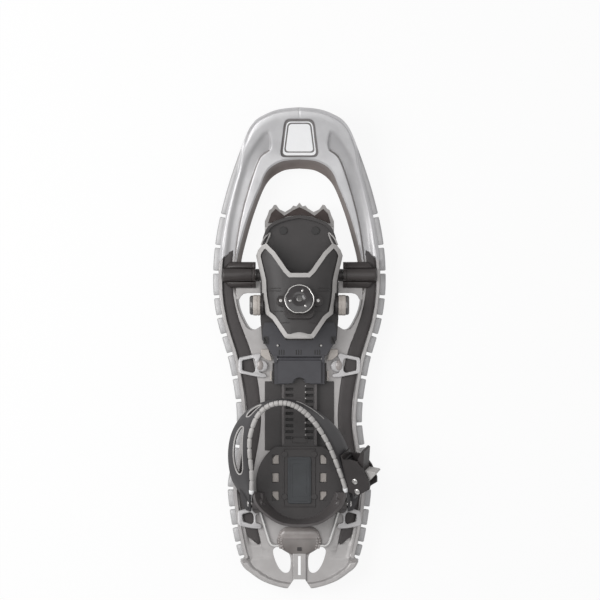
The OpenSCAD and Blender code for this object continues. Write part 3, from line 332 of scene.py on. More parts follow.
def weld(name, parts):
    """Joins meshes into one piece."""
    bpy.ops.object.select_all(action="DESELECT")
    for p in parts:
        p.select_set(True)
    bpy.context.view_layer.objects.active = parts[0]
    if len(parts) > 1:
        bpy.ops.object.join()
    parts[0].name = name
    return parts[0]


def slab(name, plan, low, high, edge=0.0, segments=2):
    """A plate: a flat outline, drawn up and rounded along its edges."""
    bpy.ops.object.select_all(action="DESELECT")
    bpy.ops.mesh.primitive_circle_add(vertices=len(plan), radius=1, fill_type="NGON")
    ob = bpy.context.object
    ob.name = name
    for v, (x, y) in zip(ob.data.vertices, plan):
        v.co = (x * MM, y * MM, low * MM)
    bpy.ops.object.mode_set(mode="EDIT")
    bpy.ops.mesh.select_all(action="SELECT")
    bpy.ops.mesh.extrude_region_move(TRANSFORM_OT_translate={"value": (0, 0, (high - low) * MM)})
    bpy.ops.object.mode_set(mode="OBJECT")
    outward(ob)
    return soften(ob, edge, segments) if edge else ob


def box_plan(x0, y0, x1, y1):
    return [(x0, y0), (x1, y0), (x1, y1), (x0, y1)]


def turned(name, profile, steps=32, lobe=None):
    """A turned piece about the Z axis, from radius and height pairs, the first and last on the axis."""
    turn = np.linspace(0, 2 * np.pi, steps, endpoint=False)
    swell = np.ones(steps) if lobe is None else lobe(turn)
    rings = [[(r * s * math.cos(a), r * s * math.sin(a), z) for a, s in zip(turn, swell)] for r, z in profile]
    return skin(name, rings)


def tube(name, path, radius, sides=10, closed=False):
    """A round bar along a path; the radius may change from point to point."""
    p = np.array(path, float)
    n = len(p)
    r = np.broadcast_to(radius, (n,))
    rings = []
    for i in range(n):
        if closed:
            t = p[(i + 1) % n] - p[i - 1]
        else:
            t = p[min(i + 1, n - 1)] - p[max(i - 1, 0)]
        t = t / np.linalg.norm(t)
        up = np.array((0, 0, 1.0)) if abs(t[2]) < 0.95 else np.array((1.0, 0, 0))
        s = np.cross(t, up)
        s /= np.linalg.norm(s)
        v = np.cross(s, t)
        turn = np.linspace(0, 2 * np.pi, sides, endpoint=False)
        rings.append([tuple(p[i] + r[i] * (s * math.cos(a) + v * math.sin(a))) for a in turn])
    if closed:
        return skin(name, rings + rings[:1], caps=(False, False))
    return skin(name, rings)


def put(ob, place):
    """Moves the mesh itself, so that the object stays at the origin; the place is in millimetres."""
    m = place.copy()
    m.translation = m.translation * MM
    ob.data.transform(m)
    return ob


def fit(ob, body, material, slot, *nodes):
    """Gives a piece its finish, the body it moves with, and the CAD nodes it stands for."""
    if material is not None:
        ob.data.materials.clear()
        ob.data.materials.append(material)
    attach(ob, body)
    if nodes:
        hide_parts(*nodes)
    return ob


def other_side(ob, name):
    """A copy of a right-hand piece for the left side."""
    left = ob.copy()
    left.data = ob.data.copy()
    left.name = name
    bpy.context.scene.collection.objects.link(left)
    left.data.transform(Matrix.Diagonal((-1, 1, 1, 1)))
    outward(left)
    return left


def fit_pair(right, material, slot, node):
    """Fits a right-hand piece and its copy on the left."""
    left = other_side(right, right.name.replace("right", "left"))
    for ob, side in ((right, "_right"), (left, "_left")):
        fit(ob, body_of[node + side], material, slot, node + side)


def dress(node, material, slot, edge=0.4, segments=2, tool=None):
    """A finished copy of a CAD node, its triangles merged and its edges rounded."""
    ob = bpy.data.objects.new(node + "_dressed", frame["nodes"][node].data.copy())
    bpy.context.scene.collection.objects.link(ob)
    take(ob)
    bpy.ops.object.mode_set(mode="EDIT")
    bpy.ops.mesh.select_all(action="SELECT")
    bpy.ops.mesh.remove_doubles(threshold=2e-6)
    bpy.ops.mesh.dissolve_limited(angle_limit=math.radians(1.5))
    bpy.ops.object.mode_set(mode="OBJECT")
    if tool:
        cut(ob, tool)
    soften(ob, edge, segments)
    return fit(ob, body_of[node], material, slot, node)


def along(points, f):
    """The smooth curve that the solids use, at places counted in points from its start."""
    p = np.array(points, float)
    last = len(p) - 1
    t = np.array([(p[min(i + 1, last)] - p[max(i - 1, 0)]) / 2 for i in range(last + 1)])
    i = np.clip(np.floor(f).astype(int), 0, last - 1)
    u = (np.asarray(f) - i)[:, None]
    return (
        p[i] * (2 * u**3 - 3 * u**2 + 1)
        + t[i] * (u**3 - 2 * u**2 + u)
        + p[i + 1] * (3 * u**2 - 2 * u**3)
        + t[i + 1] * (u**3 - u**2)
    )


def flow(points, steps):
    """The whole smooth curve, with a number of steps between two points."""
    return along(points, np.linspace(0, len(points) - 1, (len(points) - 1) * steps + 1))


def ease(x):
    """A soft step from 0 to 1."""
    x = np.clip(x, 0, 1)
    return x * x * (3 - 2 * x)


def rounded(plan, radius, steps=5):
    """An outline with its corners rounded."""
    out = []
    n = len(plan)
    for i in range(n):
        a, b, c = (np.array(plan[j % n], float) for j in (i - 1, i, i + 1))
        u, v = a - b, c - b
        k = min(radius, np.hypot(*u) / 2.2, np.hypot(*v) / 2.2)
        p, q = b + u / np.hypot(*u) * k, b + v / np.hypot(*v) * k
        for t in np.linspace(0, 1, steps):
            out.append(tuple((1 - t) ** 2 * p + 2 * t * (1 - t) * b + t * t * q))
    return out


# Deck, in millimetres
TAIL_END = -277.5
EDGE = [
    (0, 277.5), (22, 275.3), (38, 270), (52, 261), (63, 242), (82.7, 187), (96, 131), (100, 80),
    (95.4, 34), (80.3, -21), (72.5, -80), (79.5, -135), (83, -165), (76, -216), (67.5, -248),
    (55.5, -260.5), (39.5, -270.5), (16, TAIL_END), (0, TAIL_END),
]
SPINE = 8.1
OPENING = 10
INNER = [
    (0, 208), (20, 205), (37.6, 191), (51.4, 159), (62.4, 122), (68, 95), (70, 57), (63, 34), (52.5, 22),
    (34, 31), (0, 31), (0, -6), (0, -80), (0, -135), (0, -165), (0, -216), (0, -244), (0, -252),
    (0, -258.5), (0, -266), (0, -272),
]
EDGE_STEP = [0, 2, 4, 5, 6, 6.55, 7.45, 8, 8.45, 8.85, 9.05, 9.3, 10, 11, 12, 13, 14, 15, 16, 17, 18]
DECK = 24.0
UNDER = 20
FIN = 6.4
TOE_FROM, TOE_RUN, TOE_RISE = 120, 157.5, 36
STEP_LINE = flow([(35, 251), (33.2, 231), (47, 217), (62.4, 171), (70.5, 135), (75, 98)], 6)
CREST_LINE = flow([(43, 251), (57, 232), (68, 210), (82, 154), (87, 118), (89, 96)], 6)
TAIL_OVAL = [
    (19.9, -229.5), (24.4, -228.8), (30.4, -233.3), (28.2, -244.7), (22.9, -255.2), (16.9, -259.7),
    (11.6, -257.6), (10.1, -249.1), (10.8, -240.1), (14.6, -234.1),
]
EDGE_COLUMNS = np.array(
    [0, 0.7, 1.4, 2.2, 3.2, 4.0, 4.6, 5.2, 5.7, 6.4, 7.6, 9.5, 11.5, 13.5, 15.5, 17.5, 18.8, 19.6, 20.2, 20.8, 22]
)


def rise(y):
    """How far the toe turns up."""
    r = (TOE_RUN**2 + TOE_RISE**2) / (2 * TOE_RISE)
    return np.where(y > TOE_FROM, r - np.sqrt(np.maximum(r * r - np.maximum(y - TOE_FROM, 0) ** 2, 1)), 0)


def root(y):
    """How far the deck's own edge lies inside the fins; none at the toe and the tail."""
    return FIN * ease((238 - y) / 34) * ease((y + 246) / 5)


def strip_in(y):
    """How far in from the edge the dark strip starts."""
    return np.interp(y, [-230, -208, -168, -37, 56, 112], [15.8, 15.4, 12.8, 12.2, 11.4, 11.3])


def strip_out(y):
    """How far in from the edge the dark strip ends."""
    wide = np.interp(y, [-226, -208, -168, -100, -37, 6, 56, 104], [13.2, 12.8, 14, 15, 16, 14.5, 11.6, 10.4])
    return strip_in(y) + wide


def hood_end(x):
    """Where the front cover stops, in a slanted step over the strip."""
    return np.where(x > 77, 102.3 + (91 - np.minimum(x, 93)) * 0.59, 98 + 12.6 * ease((x - 75.3) / 1.7))


def wall_width(y):
    """How wide the sloped wall round the front opening is."""
    return 1.6 + 3.6 * ease((y - 60) / 9) + 5.0 * ease((y - 180) / 22)


def beside(x, y, line):
    """Signed distance of points from a line of points, positive on its left."""
    best = np.full(x.shape, 1e9)
    sign = np.ones(x.shape)
    for a, b in zip(line[:-1], line[1:]):
        d = b - a
        t = np.clip(((x - a[0]) * d[0] + (y - a[1]) * d[1]) / (d @ d), 0, 1)
        ex, ey = x - a[0] - t * d[0], y - a[1] - t * d[1]
        e = np.hypot(ex, ey)
        near = e < best
        best = np.where(near, e, best)
        sign = np.where(near, np.sign(d[0] * ey - d[1] * ex), sign)
    return best * sign


def deck_height(x, y, d):
    """Height of the deck's top over its plate, d from the edge."""
    front = ease((y - hood_end(x)) / 1.3)
    step = beside(x, y, STEP_LINE)
    pocket = ease((step + 0.2) / 1.2) * ease(-beside(x, y, CREST_LINE) / 8.0) * ease((252 - y) / 6)
    crown = 4.5 + 8.0 * ease((y - 222) / 30)
    groove = np.exp(-((step / 0.75) ** 2)) * ease((250 - y) / 8)
    line = np.exp(-(((d - root(y) - 3.2) / 0.8) ** 2)) * ease((y - 112) / 8)
    slope = 3.0 * ease((d - root(y) - 4) / 28) * ease((y - 104) / 50) * (1 - ease((y - 190) / 40))
    hood = (3.4 - 0.8 * ease((y - 205) / 40)) * ease((d - root(y) + 0.6) / crown)
    hood = hood + slope - 3.5 * pocket - 0.7 * groove - 0.8 * line
    hood = hood - 0.5 * np.exp(-((x / 0.6) ** 2)) * ease((y - 262) / 3)
    rim = 4.0 * ease((d - root(y) + 0.2) / 1.3) * (1 - ease((d - 10.7) / 0.6))
    bed = ease((d - strip_in(y) + 0.5) / 0.6) * (1 - ease((d - strip_out(y) + 0.2) / 0.6))
    panel = ease((d - 14.5) / 0.8) * (1 - ease((d - 29.0) / 0.8)) * ease((y + 243) / 2) * ease((-206 - y) / 3)
    bed = bed * ease((y + 227.5) / 1.5)
    sunk = -2.4 * bed - 0.9 * panel * (1 - bed)
    lip = 3.4 * ease((d + 0.4) / 2.6) * (1 - ease((d - 8.0) / 4.0)) * ease((-245 - y) / 3) * ease((x - 4) / 5)
    spine = 3.0 * (1 - ease((x - SPINE + 0.9) / 1.8)) * ease((-234 - y) / 2)
    rear = rim * (1 - ease((-243 - y) / 3)) + sunk + np.maximum(lip, spine)
    return front * hood + (1 - front) * rear


def step_places(outer, ways, flats, leans):
    """How far from the edge each row of the deck crosses its main line, as a share of the row."""
    share = []
    for o, way, flat, lean in zip(outer, ways, flats, leans):
        if -226 < o[1] < 100:
            share.append(float(strip_out(o[1])) / lean / flat if flat > 34 else np.nan)
            continue
        d = np.linspace(4, flat - 3, 200)
        s = beside(o[0] + way[0] * d, o[1] + way[1] * d, STEP_LINE)
        hits = np.nonzero((s[:-1] > 0) & (s[1:] <= 0))[0]
        share.append(d[hits[0]] / flat if len(hits) and 100 <= o[1] < 268 else np.nan)
    share = np.array(share)
    known = np.nonzero(~np.isnan(share))[0]
    return np.interp(np.arange(len(share)), known, share[known])


def deck_row(o, i, way, flat, wall, share, opening, lean):
    """One ring of points across half the deck, over the top and back along the underside."""
    start = float(root(o[1])) / lean
    small = min(1.0, flat / 40)
    mid = max(share * flat, start + 3 * small)
    scale = min(1 / lean, (mid - 2.6 * small - start) / 22)
    d = start + EDGE_COLUMNS * scale
    rest = np.linspace(mid + 1.3 * small, flat - 2.6 * small, 12)
    turn = (o[0] - SPINE) / max(-way[0], 0.05)
    if o[1] < -226 and mid + 4 < turn < flat - 4:
        rest = np.concatenate([
            np.linspace(rest[0], turn - 1.6, 5), turn + np.linspace(-1, 1, 5), [turn + 1.8, rest[-1]],
        ])
    d = np.concatenate([
        d,
        np.linspace(d[-1], mid - 1.3 * small, 6)[1:],
        mid + np.array([-1.0, -0.55, 0, 0.55, 1.0]) * small,
        rest,
        flat + np.array([-2.0, -1.3, -0.7, -0.25, 0]) * small,
    ])
    x, y = o[0] + way[0] * d, o[1] + way[1] * d
    z = DECK + rise(y) + deck_height(x, y, d * lean)
    if opening:
        z = z - 1.4 * ease((d - flat + 2.0) / 2.0)
    ends = float(ease((o[1] - 205) / 30) + ease((-243 - o[1]) / 4))
    low = UNDER + rise(y)
    skirt = low[0] - 7.0 * ends
    ring = [(x[0], y[0], skirt)] + list(zip(x, y, z))
    lift = float(rise(i[1]))
    if opening:
        ring += [(*(i - way * wall * k), DECK - 2.2 + lift - 9.3 * (1 - k)) for k in (0.66, 0.33, 0.0)]
        ring += [(*(i - way * (wall + 1.5)), 12.4 + lift), (*(i - way * (wall + 1.6)), UNDER + lift)]
    else:
        ring += [(*i, z[-1] * 0.7 + low[-1] * 0.3), (*i, z[-1] * 0.4 + low[-1] * 0.6), (*i, low[-1])]
        ring += [(*(i - way * 0.5 * small), low[-1]), (*(i - way * small), low[-1])]
    for b in np.linspace(flat - 2.5 * small, start + 3.2 * small, 6):
        p = o + way * b
        ring.append((*p, UNDER + float(rise(p[1]))))
    p = o + way * (start + 3.0 * small)
    ring.append((*p, skirt + 0.4))
    return [(max(a, 0.0), b, c) for a, b, c in ring]


def make_deck():
    """Half the deck as rows from its edge to the opening or the middle, mirrored, with its holes cut."""
    f = np.concatenate([
        np.linspace(0, 5, 64, endpoint=False), np.linspace(5, 6.2, 20, endpoint=False),
        np.linspace(6.2, 6.75, 44, endpoint=False), np.linspace(6.75, 7.9, 20, endpoint=False),
        np.linspace(7.9, 9.1, 60, endpoint=False), np.linspace(9.1, 14, 70, endpoint=False), np.linspace(14, 18, 48),
    ])
    g = np.interp(f, EDGE_STEP, np.arange(len(INNER)))
    outer = along(EDGE, f)
    inner = along(INNER, g)
    inner[:, 0] = np.where(g >= OPENING, 0, np.maximum(inner[:, 0], 0))
    outer = np.maximum(outer, (0, TAIL_END))
    inner[-1] = INNER[-1]
    span = np.maximum(np.hypot(*(inner - outer).T), 1e-6)
    ways = (inner - outer) / span[:, None]
    walls = np.where(g < OPENING, wall_width(inner[:, 1]), 0)
    run = np.gradient(outer, axis=0)
    leans = np.abs(ways[:, 0] * run[:, 1] - ways[:, 1] * run[:, 0]) / np.maximum(np.hypot(*run.T), 1e-6)
    leans = np.where(np.abs(outer[:, 1]) < 60, np.clip(leans, 0.5, 1), 1.0)
    shares = step_places(outer, ways, span - walls, leans)
    rings = [
        deck_row(o, i, way, s - w, w, share, k < OPENING, lean)
        for o, i, way, s, w, share, k, lean in zip(outer, inner, ways, span, walls, shares, g, leans)
    ]
    deck = skin("deck_skin", rings, caps=(False, True))
    pick_faces(deck, lambda face: all(deck.data.vertices[v].co.x < 1e-5 for v in face.vertices))
    bpy.ops.mesh.delete(type="FACE")
    bpy.ops.object.mode_set(mode="OBJECT")
    use(deck, "MIRROR", use_clip=True, merge_threshold=1e-5)
    oval = flow(TAIL_OVAL + TAIL_OVAL[:1], 4)[:-1]
    for side in (1, -1):
        cut(deck, slab("oval_tool", [(side * a, b) for a, b in oval], 5, 40))
    cut(deck, slab("slot_tool", box_plan(-1.5, -262.5, 1.5, -240), 5, 40))
    cut(deck, slab("notch_tool", [(-14.6, -279), (14.6, -279), (6.5, -267), (-6.5, -267)], 5, 40))
    seat = label_loop(-0.5, -0.5, -0.5)
    cut(deck, skin("seat_tool", [
        [(a, b, DECK + 0.2 + float(rise(b))) for a, b in seat], [(a, b, 90) for a, b in seat]
    ]))
    soften(deck, 0, smooth=38)
    for finish in (silver, wall_shade_taupe, smoke, step_shadow_grey):
        deck.data.materials.append(finish)
    paint_deck(deck)
    paint_pocket_shade(deck)
    fit(deck, "deck", None, "deck_grey", "deck_frame", "tail_spine")


def paint_deck(deck):
    """Bright cover, painted shade on the sloped wall round the front opening, a painted shadow line along the cover's
    step, and smoke grey behind.
    """
    count = len(deck.data.polygons)
    middle = np.zeros(count * 3)
    deck.data.polygons.foreach_get("center", middle)
    x, y, z = (middle.reshape(-1, 3) / MM).T
    x = np.abs(x)
    near = np.abs(beside(x, y, flow(INNER[:OPENING], 6)))
    # Painted shade on the sloped wall round the opening.
    wall = (near < wall_width(y) - 0.4) & (y > 66) & (z < DECK + rise(y) + 1.2)
    # Painted shadow along the step line in the cover.
    line = (np.abs(beside(x, y, STEP_LINE)) < 0.9) & (y > 99) & (y < 229) & (z > DECK)
    cover = y > hood_end(x) - 0.3
    index = np.where(wall, 1, np.where(line, 3, np.where(cover, 0, 2)))
    deck.data.polygons.foreach_set("material_index", index.astype(np.int32))


def paint_pocket_shade(deck):
    """Mark how deep each point lies in the cover's sunk panels, for the painted shade that darkens them."""
    spots = np.zeros(len(deck.data.vertices) * 3)
    deck.data.vertices.foreach_get("co", spots)
    x, y, z = (spots.reshape(-1, 3) / MM).T
    x = np.abs(x)
    depth = ease((beside(x, y, STEP_LINE) - 0.2) / 1.4) * ease((-0.5 - beside(x, y, CREST_LINE)) / 5.0)
    depth = depth * ease((250 - y) / 8) * (z > DECK - 1)
    layer = deck.data.attributes.new("pocket", "FLOAT", "POINT")
    layer.data.foreach_set("value", depth.astype(np.float32))


def edge_at(y):
    """The deck's outer edge at a place along the shoe, and the way in from it."""
    dense = flow(EDGE[:15], 40)
    order = np.argsort(dense[:, 1])
    ys, xs = dense[order][:, 1], dense[order][:, 0]
    q = np.array((np.interp(y - 1, ys, xs) - np.interp(y + 1, ys, xs), -2.0))
    q /= np.hypot(*q)
    return np.array((np.interp(y, ys, xs), y)), np.array((q[1], -q[0]))


FIN_GAPS = [
    154.3, 118.5, 88.4, 59.5, 36.4, 14.5, -7.5, -34.1, -60.7, -87.3, -112.7, -138.1, -161.8, -185, -206.3,
    -226, -242.2,
]


def make_fins():
    """The row of blocks along the deck's edge."""
    blocks = []
    for a, b in zip([237] + [y - 1.8 for y in FIN_GAPS], [y + 1.8 for y in FIN_GAPS] + [-246]):
        count = max(4, int(abs(a - b) / 6))
        stations = [a, a - 0.5] + list(np.linspace(a - 1.2, b + 1.2, count)) + [b + 0.5, b]
        shrink = [0.8, 0.25] + [0] * count + [0.25, 0.8]
        rings = []
        for y, s in zip(stations, shrink):
            p, inward = edge_at(y)
            up = float(rise(y))
            w = 0.4 if a > 200 and a - y < 2 else float(root(y)) + 0.3
            section = [
                (w, 10.8 + s), (0.9 + s, 10.8 + s), (0.35 + s, 11.4 + s), (0.0 + s, 12.4), (0.0 + s, 20.4 - s),
                (0.3 + s, 21.6 - s), (1.0 + s, 22.5 - s), (2.0, 22.9 - s), (w * 0.75, 23.3 - s), (w, 23.2 - s),
            ]
            rings.append([
                (p[0] + inward[0] * min(d, w), p[1] + inward[1] * min(d, w), z + up) for d, z in section
            ])
        blocks.append(skin("fin", rings))
    fins = soften(twin(weld("edge_fins", blocks)), 0, smooth=45)
    fit(fins, "deck", fin_grey, "deck_grey")


def make_strips():
    """Dark strips let into the deck, slanted at the front and rounded at the back."""
    stations = np.concatenate([
        np.linspace(109.5, 60, 18), np.linspace(54, -214, 48), [-218, -222, -226, -228.5, -230.5, -232, -233, -233.6],
    ])
    rings = []
    for y in stations:
        tail = max(0.02, 1 - max(0.0, (-226.5 - y) / 7.2) ** 3) ** 0.33
        back = 9.0 * float(ease((-206 - y) / 26))
        lead = 6.6 * float(ease((y - 62) / 41.5))
        a, b = float(strip_in(y)), float(strip_out(y))
        mid, half = (a + b) / 2, (b - a) / 2 * tail
        section = [
            (-1, 22.3), (-1, 24.05), (-0.94, 24.35), (-0.4, 24.45), (0.4, 24.45), (0.94, 24.35), (1, 24.05), (1, 22.3)
        ]
        ring = []
        for s, z in section:
            p, inward = edge_at(y + lead * (s + 1) / 2 + back * (1 - s) / 2)
            ring.append((*(p + inward * (mid + half * s)), z))
        rings.append(ring)
    right = soften(skin("strip_right_inlay", rings), 0, smooth=45)
    fit_pair(right, strip_brown, "dark_rubber", "strip")


LABEL_TOP, LABEL_BOTTOM = 264.2, 220.8


def label_loop(side, top, bottom):
    """The bare plate's outline, drawn in by margins."""
    a, b = LABEL_TOP - top, LABEL_BOTTOM + bottom

    def half(y):
        return 16.9 + (LABEL_TOP - y) * 0.128 - side

    return rounded([(-half(b), b), (half(b), b), (half(a), a), (-half(a), a)], max(0.8, 7.0 - 0.55 * side), 6)


def make_label():
    """A bare white plate in a double grey frame, sunk into the cover; the outer grey band, wider at the top, is
    partly frame and partly painted shadow along the recess edge.
    """
    loops = [
        ((0, 0, 0), -1.0), ((0, 0, 0), 0.6), ((2.6, 3.0, 2.0), 0.6), ((2.6, 3.0, 2.0), 1.15),
        ((3.9, 4.2, 5.0), 1.15), ((3.9, 4.2, 5.0), 0.85), ((5.6, 5.8, 6.4), 0.85), ((5.6, 5.8, 6.4), 1.2),
        ((8.5, 9.5, 10.5), 1.25), ((12, 15, 16), 1.25), ((14.4, 19, 19.5), 1.25),
    ]
    rings = [[(x, y, DECK + float(rise(y)) + h) for x, y in label_loop(*margins)] for margins, h in loops]
    plate = skin("toe_label", rings)
    plate.data.materials.append(white)
    plate.data.materials.append(frame_grey_and_shadow)
    per_row = len(rings[0])
    for n, face in enumerate(plate.data.polygons):
        # Rows 0 and 1, the recess wall and outer band, are part frame and part painted shadow; rows 4 to 6 are the
        # inner frame line.
        face.material_index = 1 if n // per_row in (0, 1, 4, 5, 6) else 0
    soften(plate, 0, smooth=30)
    fit(plate, "deck", None, "white_plate", "toe_badge")


def make_bridges():
    """Plates that carry the axle housings and close the eyes towards the front."""
    plan = [
        (52.5, 100), (52.5, 92), (46.8, 90), (46.8, 79), (45.4, 79), (45.4, 76.3), (42.5, 76.3), (42.5, 64),
        (60, 64), (64.5, 63), (67.5, 60.5), (69.4, 56.5), (73, 56.5), (73, 100),
    ]
    right = slab("bridge_plates", plan, UNDER, 24.05, 0.6)
    fit(twin(right), "deck", smoke, "deck_grey")


AXLE = 85


def make_housings():
    """Axle housings: a round bar between two sloped blocks that run out to a point."""
    lo, hi = (np.array(c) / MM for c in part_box("axle_housing_right"))
    top = hi[2]
    half = [
        (15, 22), (15, 27.6), (13.8, 30.2), (9.8, 32.6), (8.5, 32.4), (8.0, 31.2), (7.5, 32.6), (6.2, top - 2.2),
        (3.6, top - 0.5), (0, top),
    ]
    rings = []
    stations = [
        (lo[0], 0.96), (lo[0] + 0.6, 1), (lo[0] + 3.4, 1), (lo[0] + 3.7, 0.95), (lo[0] + 4.3, 0.95),
        (lo[0] + 4.6, 1), (hi[0] - 11, 1), (hi[0] - 9, 1), (hi[0] - 7, 1), (hi[0] - 5, 1), (hi[0] - 3, 1),
        (hi[0] - 1.4, 1), (hi[0] - 0.5, 0.97), (hi[0], 0.88),
    ]
    for x, k in stations:
        s = 1 - float(ease((x - hi[0] + 10) / 9.4))
        line = []
        for y, z in half:
            if y > 7.9:
                y, z = 8.0 + (y - 8.0) * s, 22 + (z - 22) * (0.55 + 0.45 * s)
            line.append((x, y * (0.5 + 0.5 * k), 22 + (z - 22) * k))
        rings.append([(a, AXLE + b, c) for a, b, c in line] + [(a, AXLE - b, c) for a, b, c in line[-2::-1]])
    right = soften(skin("axle_housing_right_form", rings), 0.5, 2, angle=50, smooth=50)
    fit_pair(right, housing_brown, "black_plastic", "axle_housing")


def brace(name, arms, window):
    """A flat frame round a window."""
    plate = slab(name, rounded(arms, 1.4, 3), DECK, 29)
    return soften(cut(plate, slab("window", rounded(window, 1.2, 3), 15, 40)), 0.9, 3)


def make_braces():
    """Braces beside the binding, the front pair with a boss over its stud, and the latch's guides."""
    arms = [
        (70.6, -13), (69, -10.3), (58, -8.0), (46.5, -5.4), (44.2, -6.4), (44.6, -10), (46.6, -13), (46.6, -27),
        (43, -28.5), (38.6, -29.6), (37.6, -32), (39, -33.6), (46, -33.4), (58, -31), (69, -28.8), (70.6, -26),
    ]
    window = [
        (66.2, -14.0), (53.2, -11.2), (51, -13.4), (50.4, -20), (51.4, -26.6), (54, -28), (66, -25.2),
    ]
    plate = brace("arms", arms, window)
    boss = turned("boss", [(0.02, 24), (7, 24), (7, 28.4), (6.5, 29.2), (5.4, 29.6), (0.02, 29.7)], 36)
    put(soften(boss, 0, smooth=50), Matrix.Translation((43.1, -20.3, 0)))
    fit_pair(weld("mid_brace_right_form", [plate, boss]), brace_grey, "deck_grey", "mid_brace")
    cap = turned("stud_caps", [(0.02, 29), (5.4, 29), (5.4, 29.9), (4.9, 30.3), (0.02, 30.4)], 32)
    cap.data.transform(Matrix.Diagonal((0.68, 1.05, 1, 1)))
    put(soften(cap, 0, smooth=50), Matrix.Translation((45.4, -19.5, 0)))
    fit(twin(cap), "deck", dome_grey, "deck_grey", "brace_studs")
    arms = [
        (71.3, -189.2), (69.5, -187.2), (58, -184.6), (54, -183.2), (48.4, -182.6), (46.6, -185), (46.4, -189.5),
        (50.2, -192.8), (50.2, -201.4), (44.8, -202.6), (43.6, -206), (44.6, -208.5), (56, -207.8), (69.5, -205.2),
        (71.6, -202.5),
    ]
    window = [
        (66, -191.7), (56.4, -189.0), (53.8, -191), (52.8, -195), (53, -201.2), (55, -203), (65.4, -199.8),
    ]
    fit_pair(brace("rear_brace_right_form", arms, window), brace_grey, "deck_grey", "rear_brace")
    guide = slab("latch_guides", box_plan(29.5, -40, 31.2, -17), DECK, 31, 0.4)
    fit(twin(guide), "deck", black, "black_plastic")
    stop = slab("latch_stops", box_plan(31.9, -37.5, 33.7, -26), DECK, 30, 0.4)
    fit(twin(stop), "deck", beige, "beige_plastic")


# Binding
def shell_width(y):
    """Half the forefoot shell's width."""
    return np.interp(y, [6, 40, 52, 66, 78, 92, 107, 124], [37, 38.9, 41.2, 42.9, 43.4, 46.6, 50.1, 48]) - 0.2


def shell_top(x, y, out=0.0):
    """Height of the forefoot shell over a point of the plan."""
    c = min(1.0, abs(x) / (shell_width(y) + out)) ** (1 / 0.72)
    return 36.3 + (52 - 25 * (y - 6) / 118 + out) * math.sqrt(1 - c * c) ** 0.72


def make_shell_trim():
    """Seams across the shell, the pale lip at its rear and the loops at its front corners."""
    lines = []
    for y, x0, x1 in ((69.5, 41.5, 21.5), (66.5, 41.3, 21.5), (43, 37.5, 19), (30, 21, 11)):
        path = [(x, y, shell_top(x, y, 0.1)) for x in np.linspace(x0, x1, 14)]
        lines.append(tube("seam", path, 0.5, 8))
    fit(soften(twin(weld("shell_seams", lines)), 0, smooth=60), "binding", gloss_black, "black_plastic")
    rings = []
    low = 12.4
    for x in np.linspace(-16.8, 16.8, 27):
        deep = 0.7 + 6.0 * (1 - (x / 16.9) ** 2)
        section = [(0, 0, 0.0), (0, 0, 1.3), (0.3, 0, 1.9), (0.8, 1, 1.5), (1, 1, 0.4), (1, 1, -0.6)]
        rings.append([(x, low + deep * f, shell_top(x, low + deep * end, out)) for f, end, out in section])
    fit(soften(skin("shell_lip", rings), 0, smooth=50), "binding", pale, "pale_grey")
    bend = flow([
        (43.6, 119.5, 53.5), (41, 126, 45), (35.6, 132.6, 38.2), (33.9, 132.4, 38.0), (36, 126, 45),
        (38.4, 120.6, 56.6),
    ], 5)
    loop = tube("toe_loops", bend, 0.95, 8)
    fit(soften(twin(loop), 0, smooth=70), "binding", pale, "pale_grey", "toe_tabs")


def make_dial():
    """The closure dial: a scalloped knob with a wavy bright ring and three polished dimples."""
    place = Matrix.Translation((0, 54.5, 78.025)) @ Matrix.Rotation(math.radians(-12), 4, "X")

    def lobed(turn):
        return 1 - 0.055 * np.maximum(0, np.cos(3 * (turn - math.radians(30)))) ** 6

    knob = turned("dial_grip", [
        (0.02, 4.1), (15.6, 4.1), (16.4, 4.8), (16.6, 6.2), (16.6, 11.2), (16.2, 12.0), (15.2, 12.4), (14.2, 12.5),
        (12.8, 12.75), (9.0, 13.05), (5.4, 13.1), (4.8, 12.5), (3.0, 12.4), (0.02, 12.4),
    ], 60, lobed)
    fit(put(soften(knob, 0, smooth=50), place), body_of["dial_knob"], dial_black, "black_plastic", "dial_knob")
    turn = np.linspace(0, 2 * np.pi, 72, endpoint=False)
    bend = [(a * math.cos(t), a * math.sin(t), 12.3) for a, t in zip(16.4 * lobed(turn), turn)]
    hoop = tube("dial_hoop", bend, 0.75, 8, closed=True)
    fit(put(soften(hoop, 0, smooth=70), place), body_of["dial_ring"], steel, "steel", "dial_ring")
    dimples = []
    for angle in (71, 191, 311):
        spot = turned("dimple", [
            (0.02, 12.6), (1.9, 12.6), (1.9, 12.95), (1.5, 13.35), (0.6, 13.5), (0.02, 13.5),
        ], 14)
        spot.data.transform(Matrix.Diagonal((1, 0.7, 1, 1)))
        dimples.append(put(spot, Matrix.Rotation(math.radians(angle), 4, "Z") @ Matrix.Translation((10.6, 0, 0))))
    screw = turned("dial_screw", [
        (0.02, 12.2), (3.4, 12.2), (3.4, 12.9), (3.0, 13.2), (1.3, 13.25), (1.0, 12.7), (0.02, 12.7),
    ], 18)
    fit(put(soften(screw, 0, smooth=45), place), body_of["dial_knob"], dark_steel, "steel")
    fit(put(soften(weld("dial_dimples", dimples), 0, smooth=60), place), body_of["dial_knob"], steel, "steel")
    lobe = turned("lobe", [
        (0.02, 0.2), (5.6, 0.2), (5.6, 3.0), (5.0, 3.9), (4.2, 4.1), (3.6, 3.7), (0.02, 3.7),
    ], 24)
    put(lobe, Matrix.Translation((21.2, 0, 0)))
    plan = [(-17.5, -7), (-17.5, -15), (-13, -21), (13, -21), (17.5, -15), (17.5, -7)]
    skirt = slab("dial_skirt", rounded(plan, 3), -1.5, 3.2, 0.8, 3)
    base = weld("dial_base_trim", [soften(twin(lobe), 0, smooth=45), skirt])
    fit(put(base, place), "binding", black, "black_plastic")


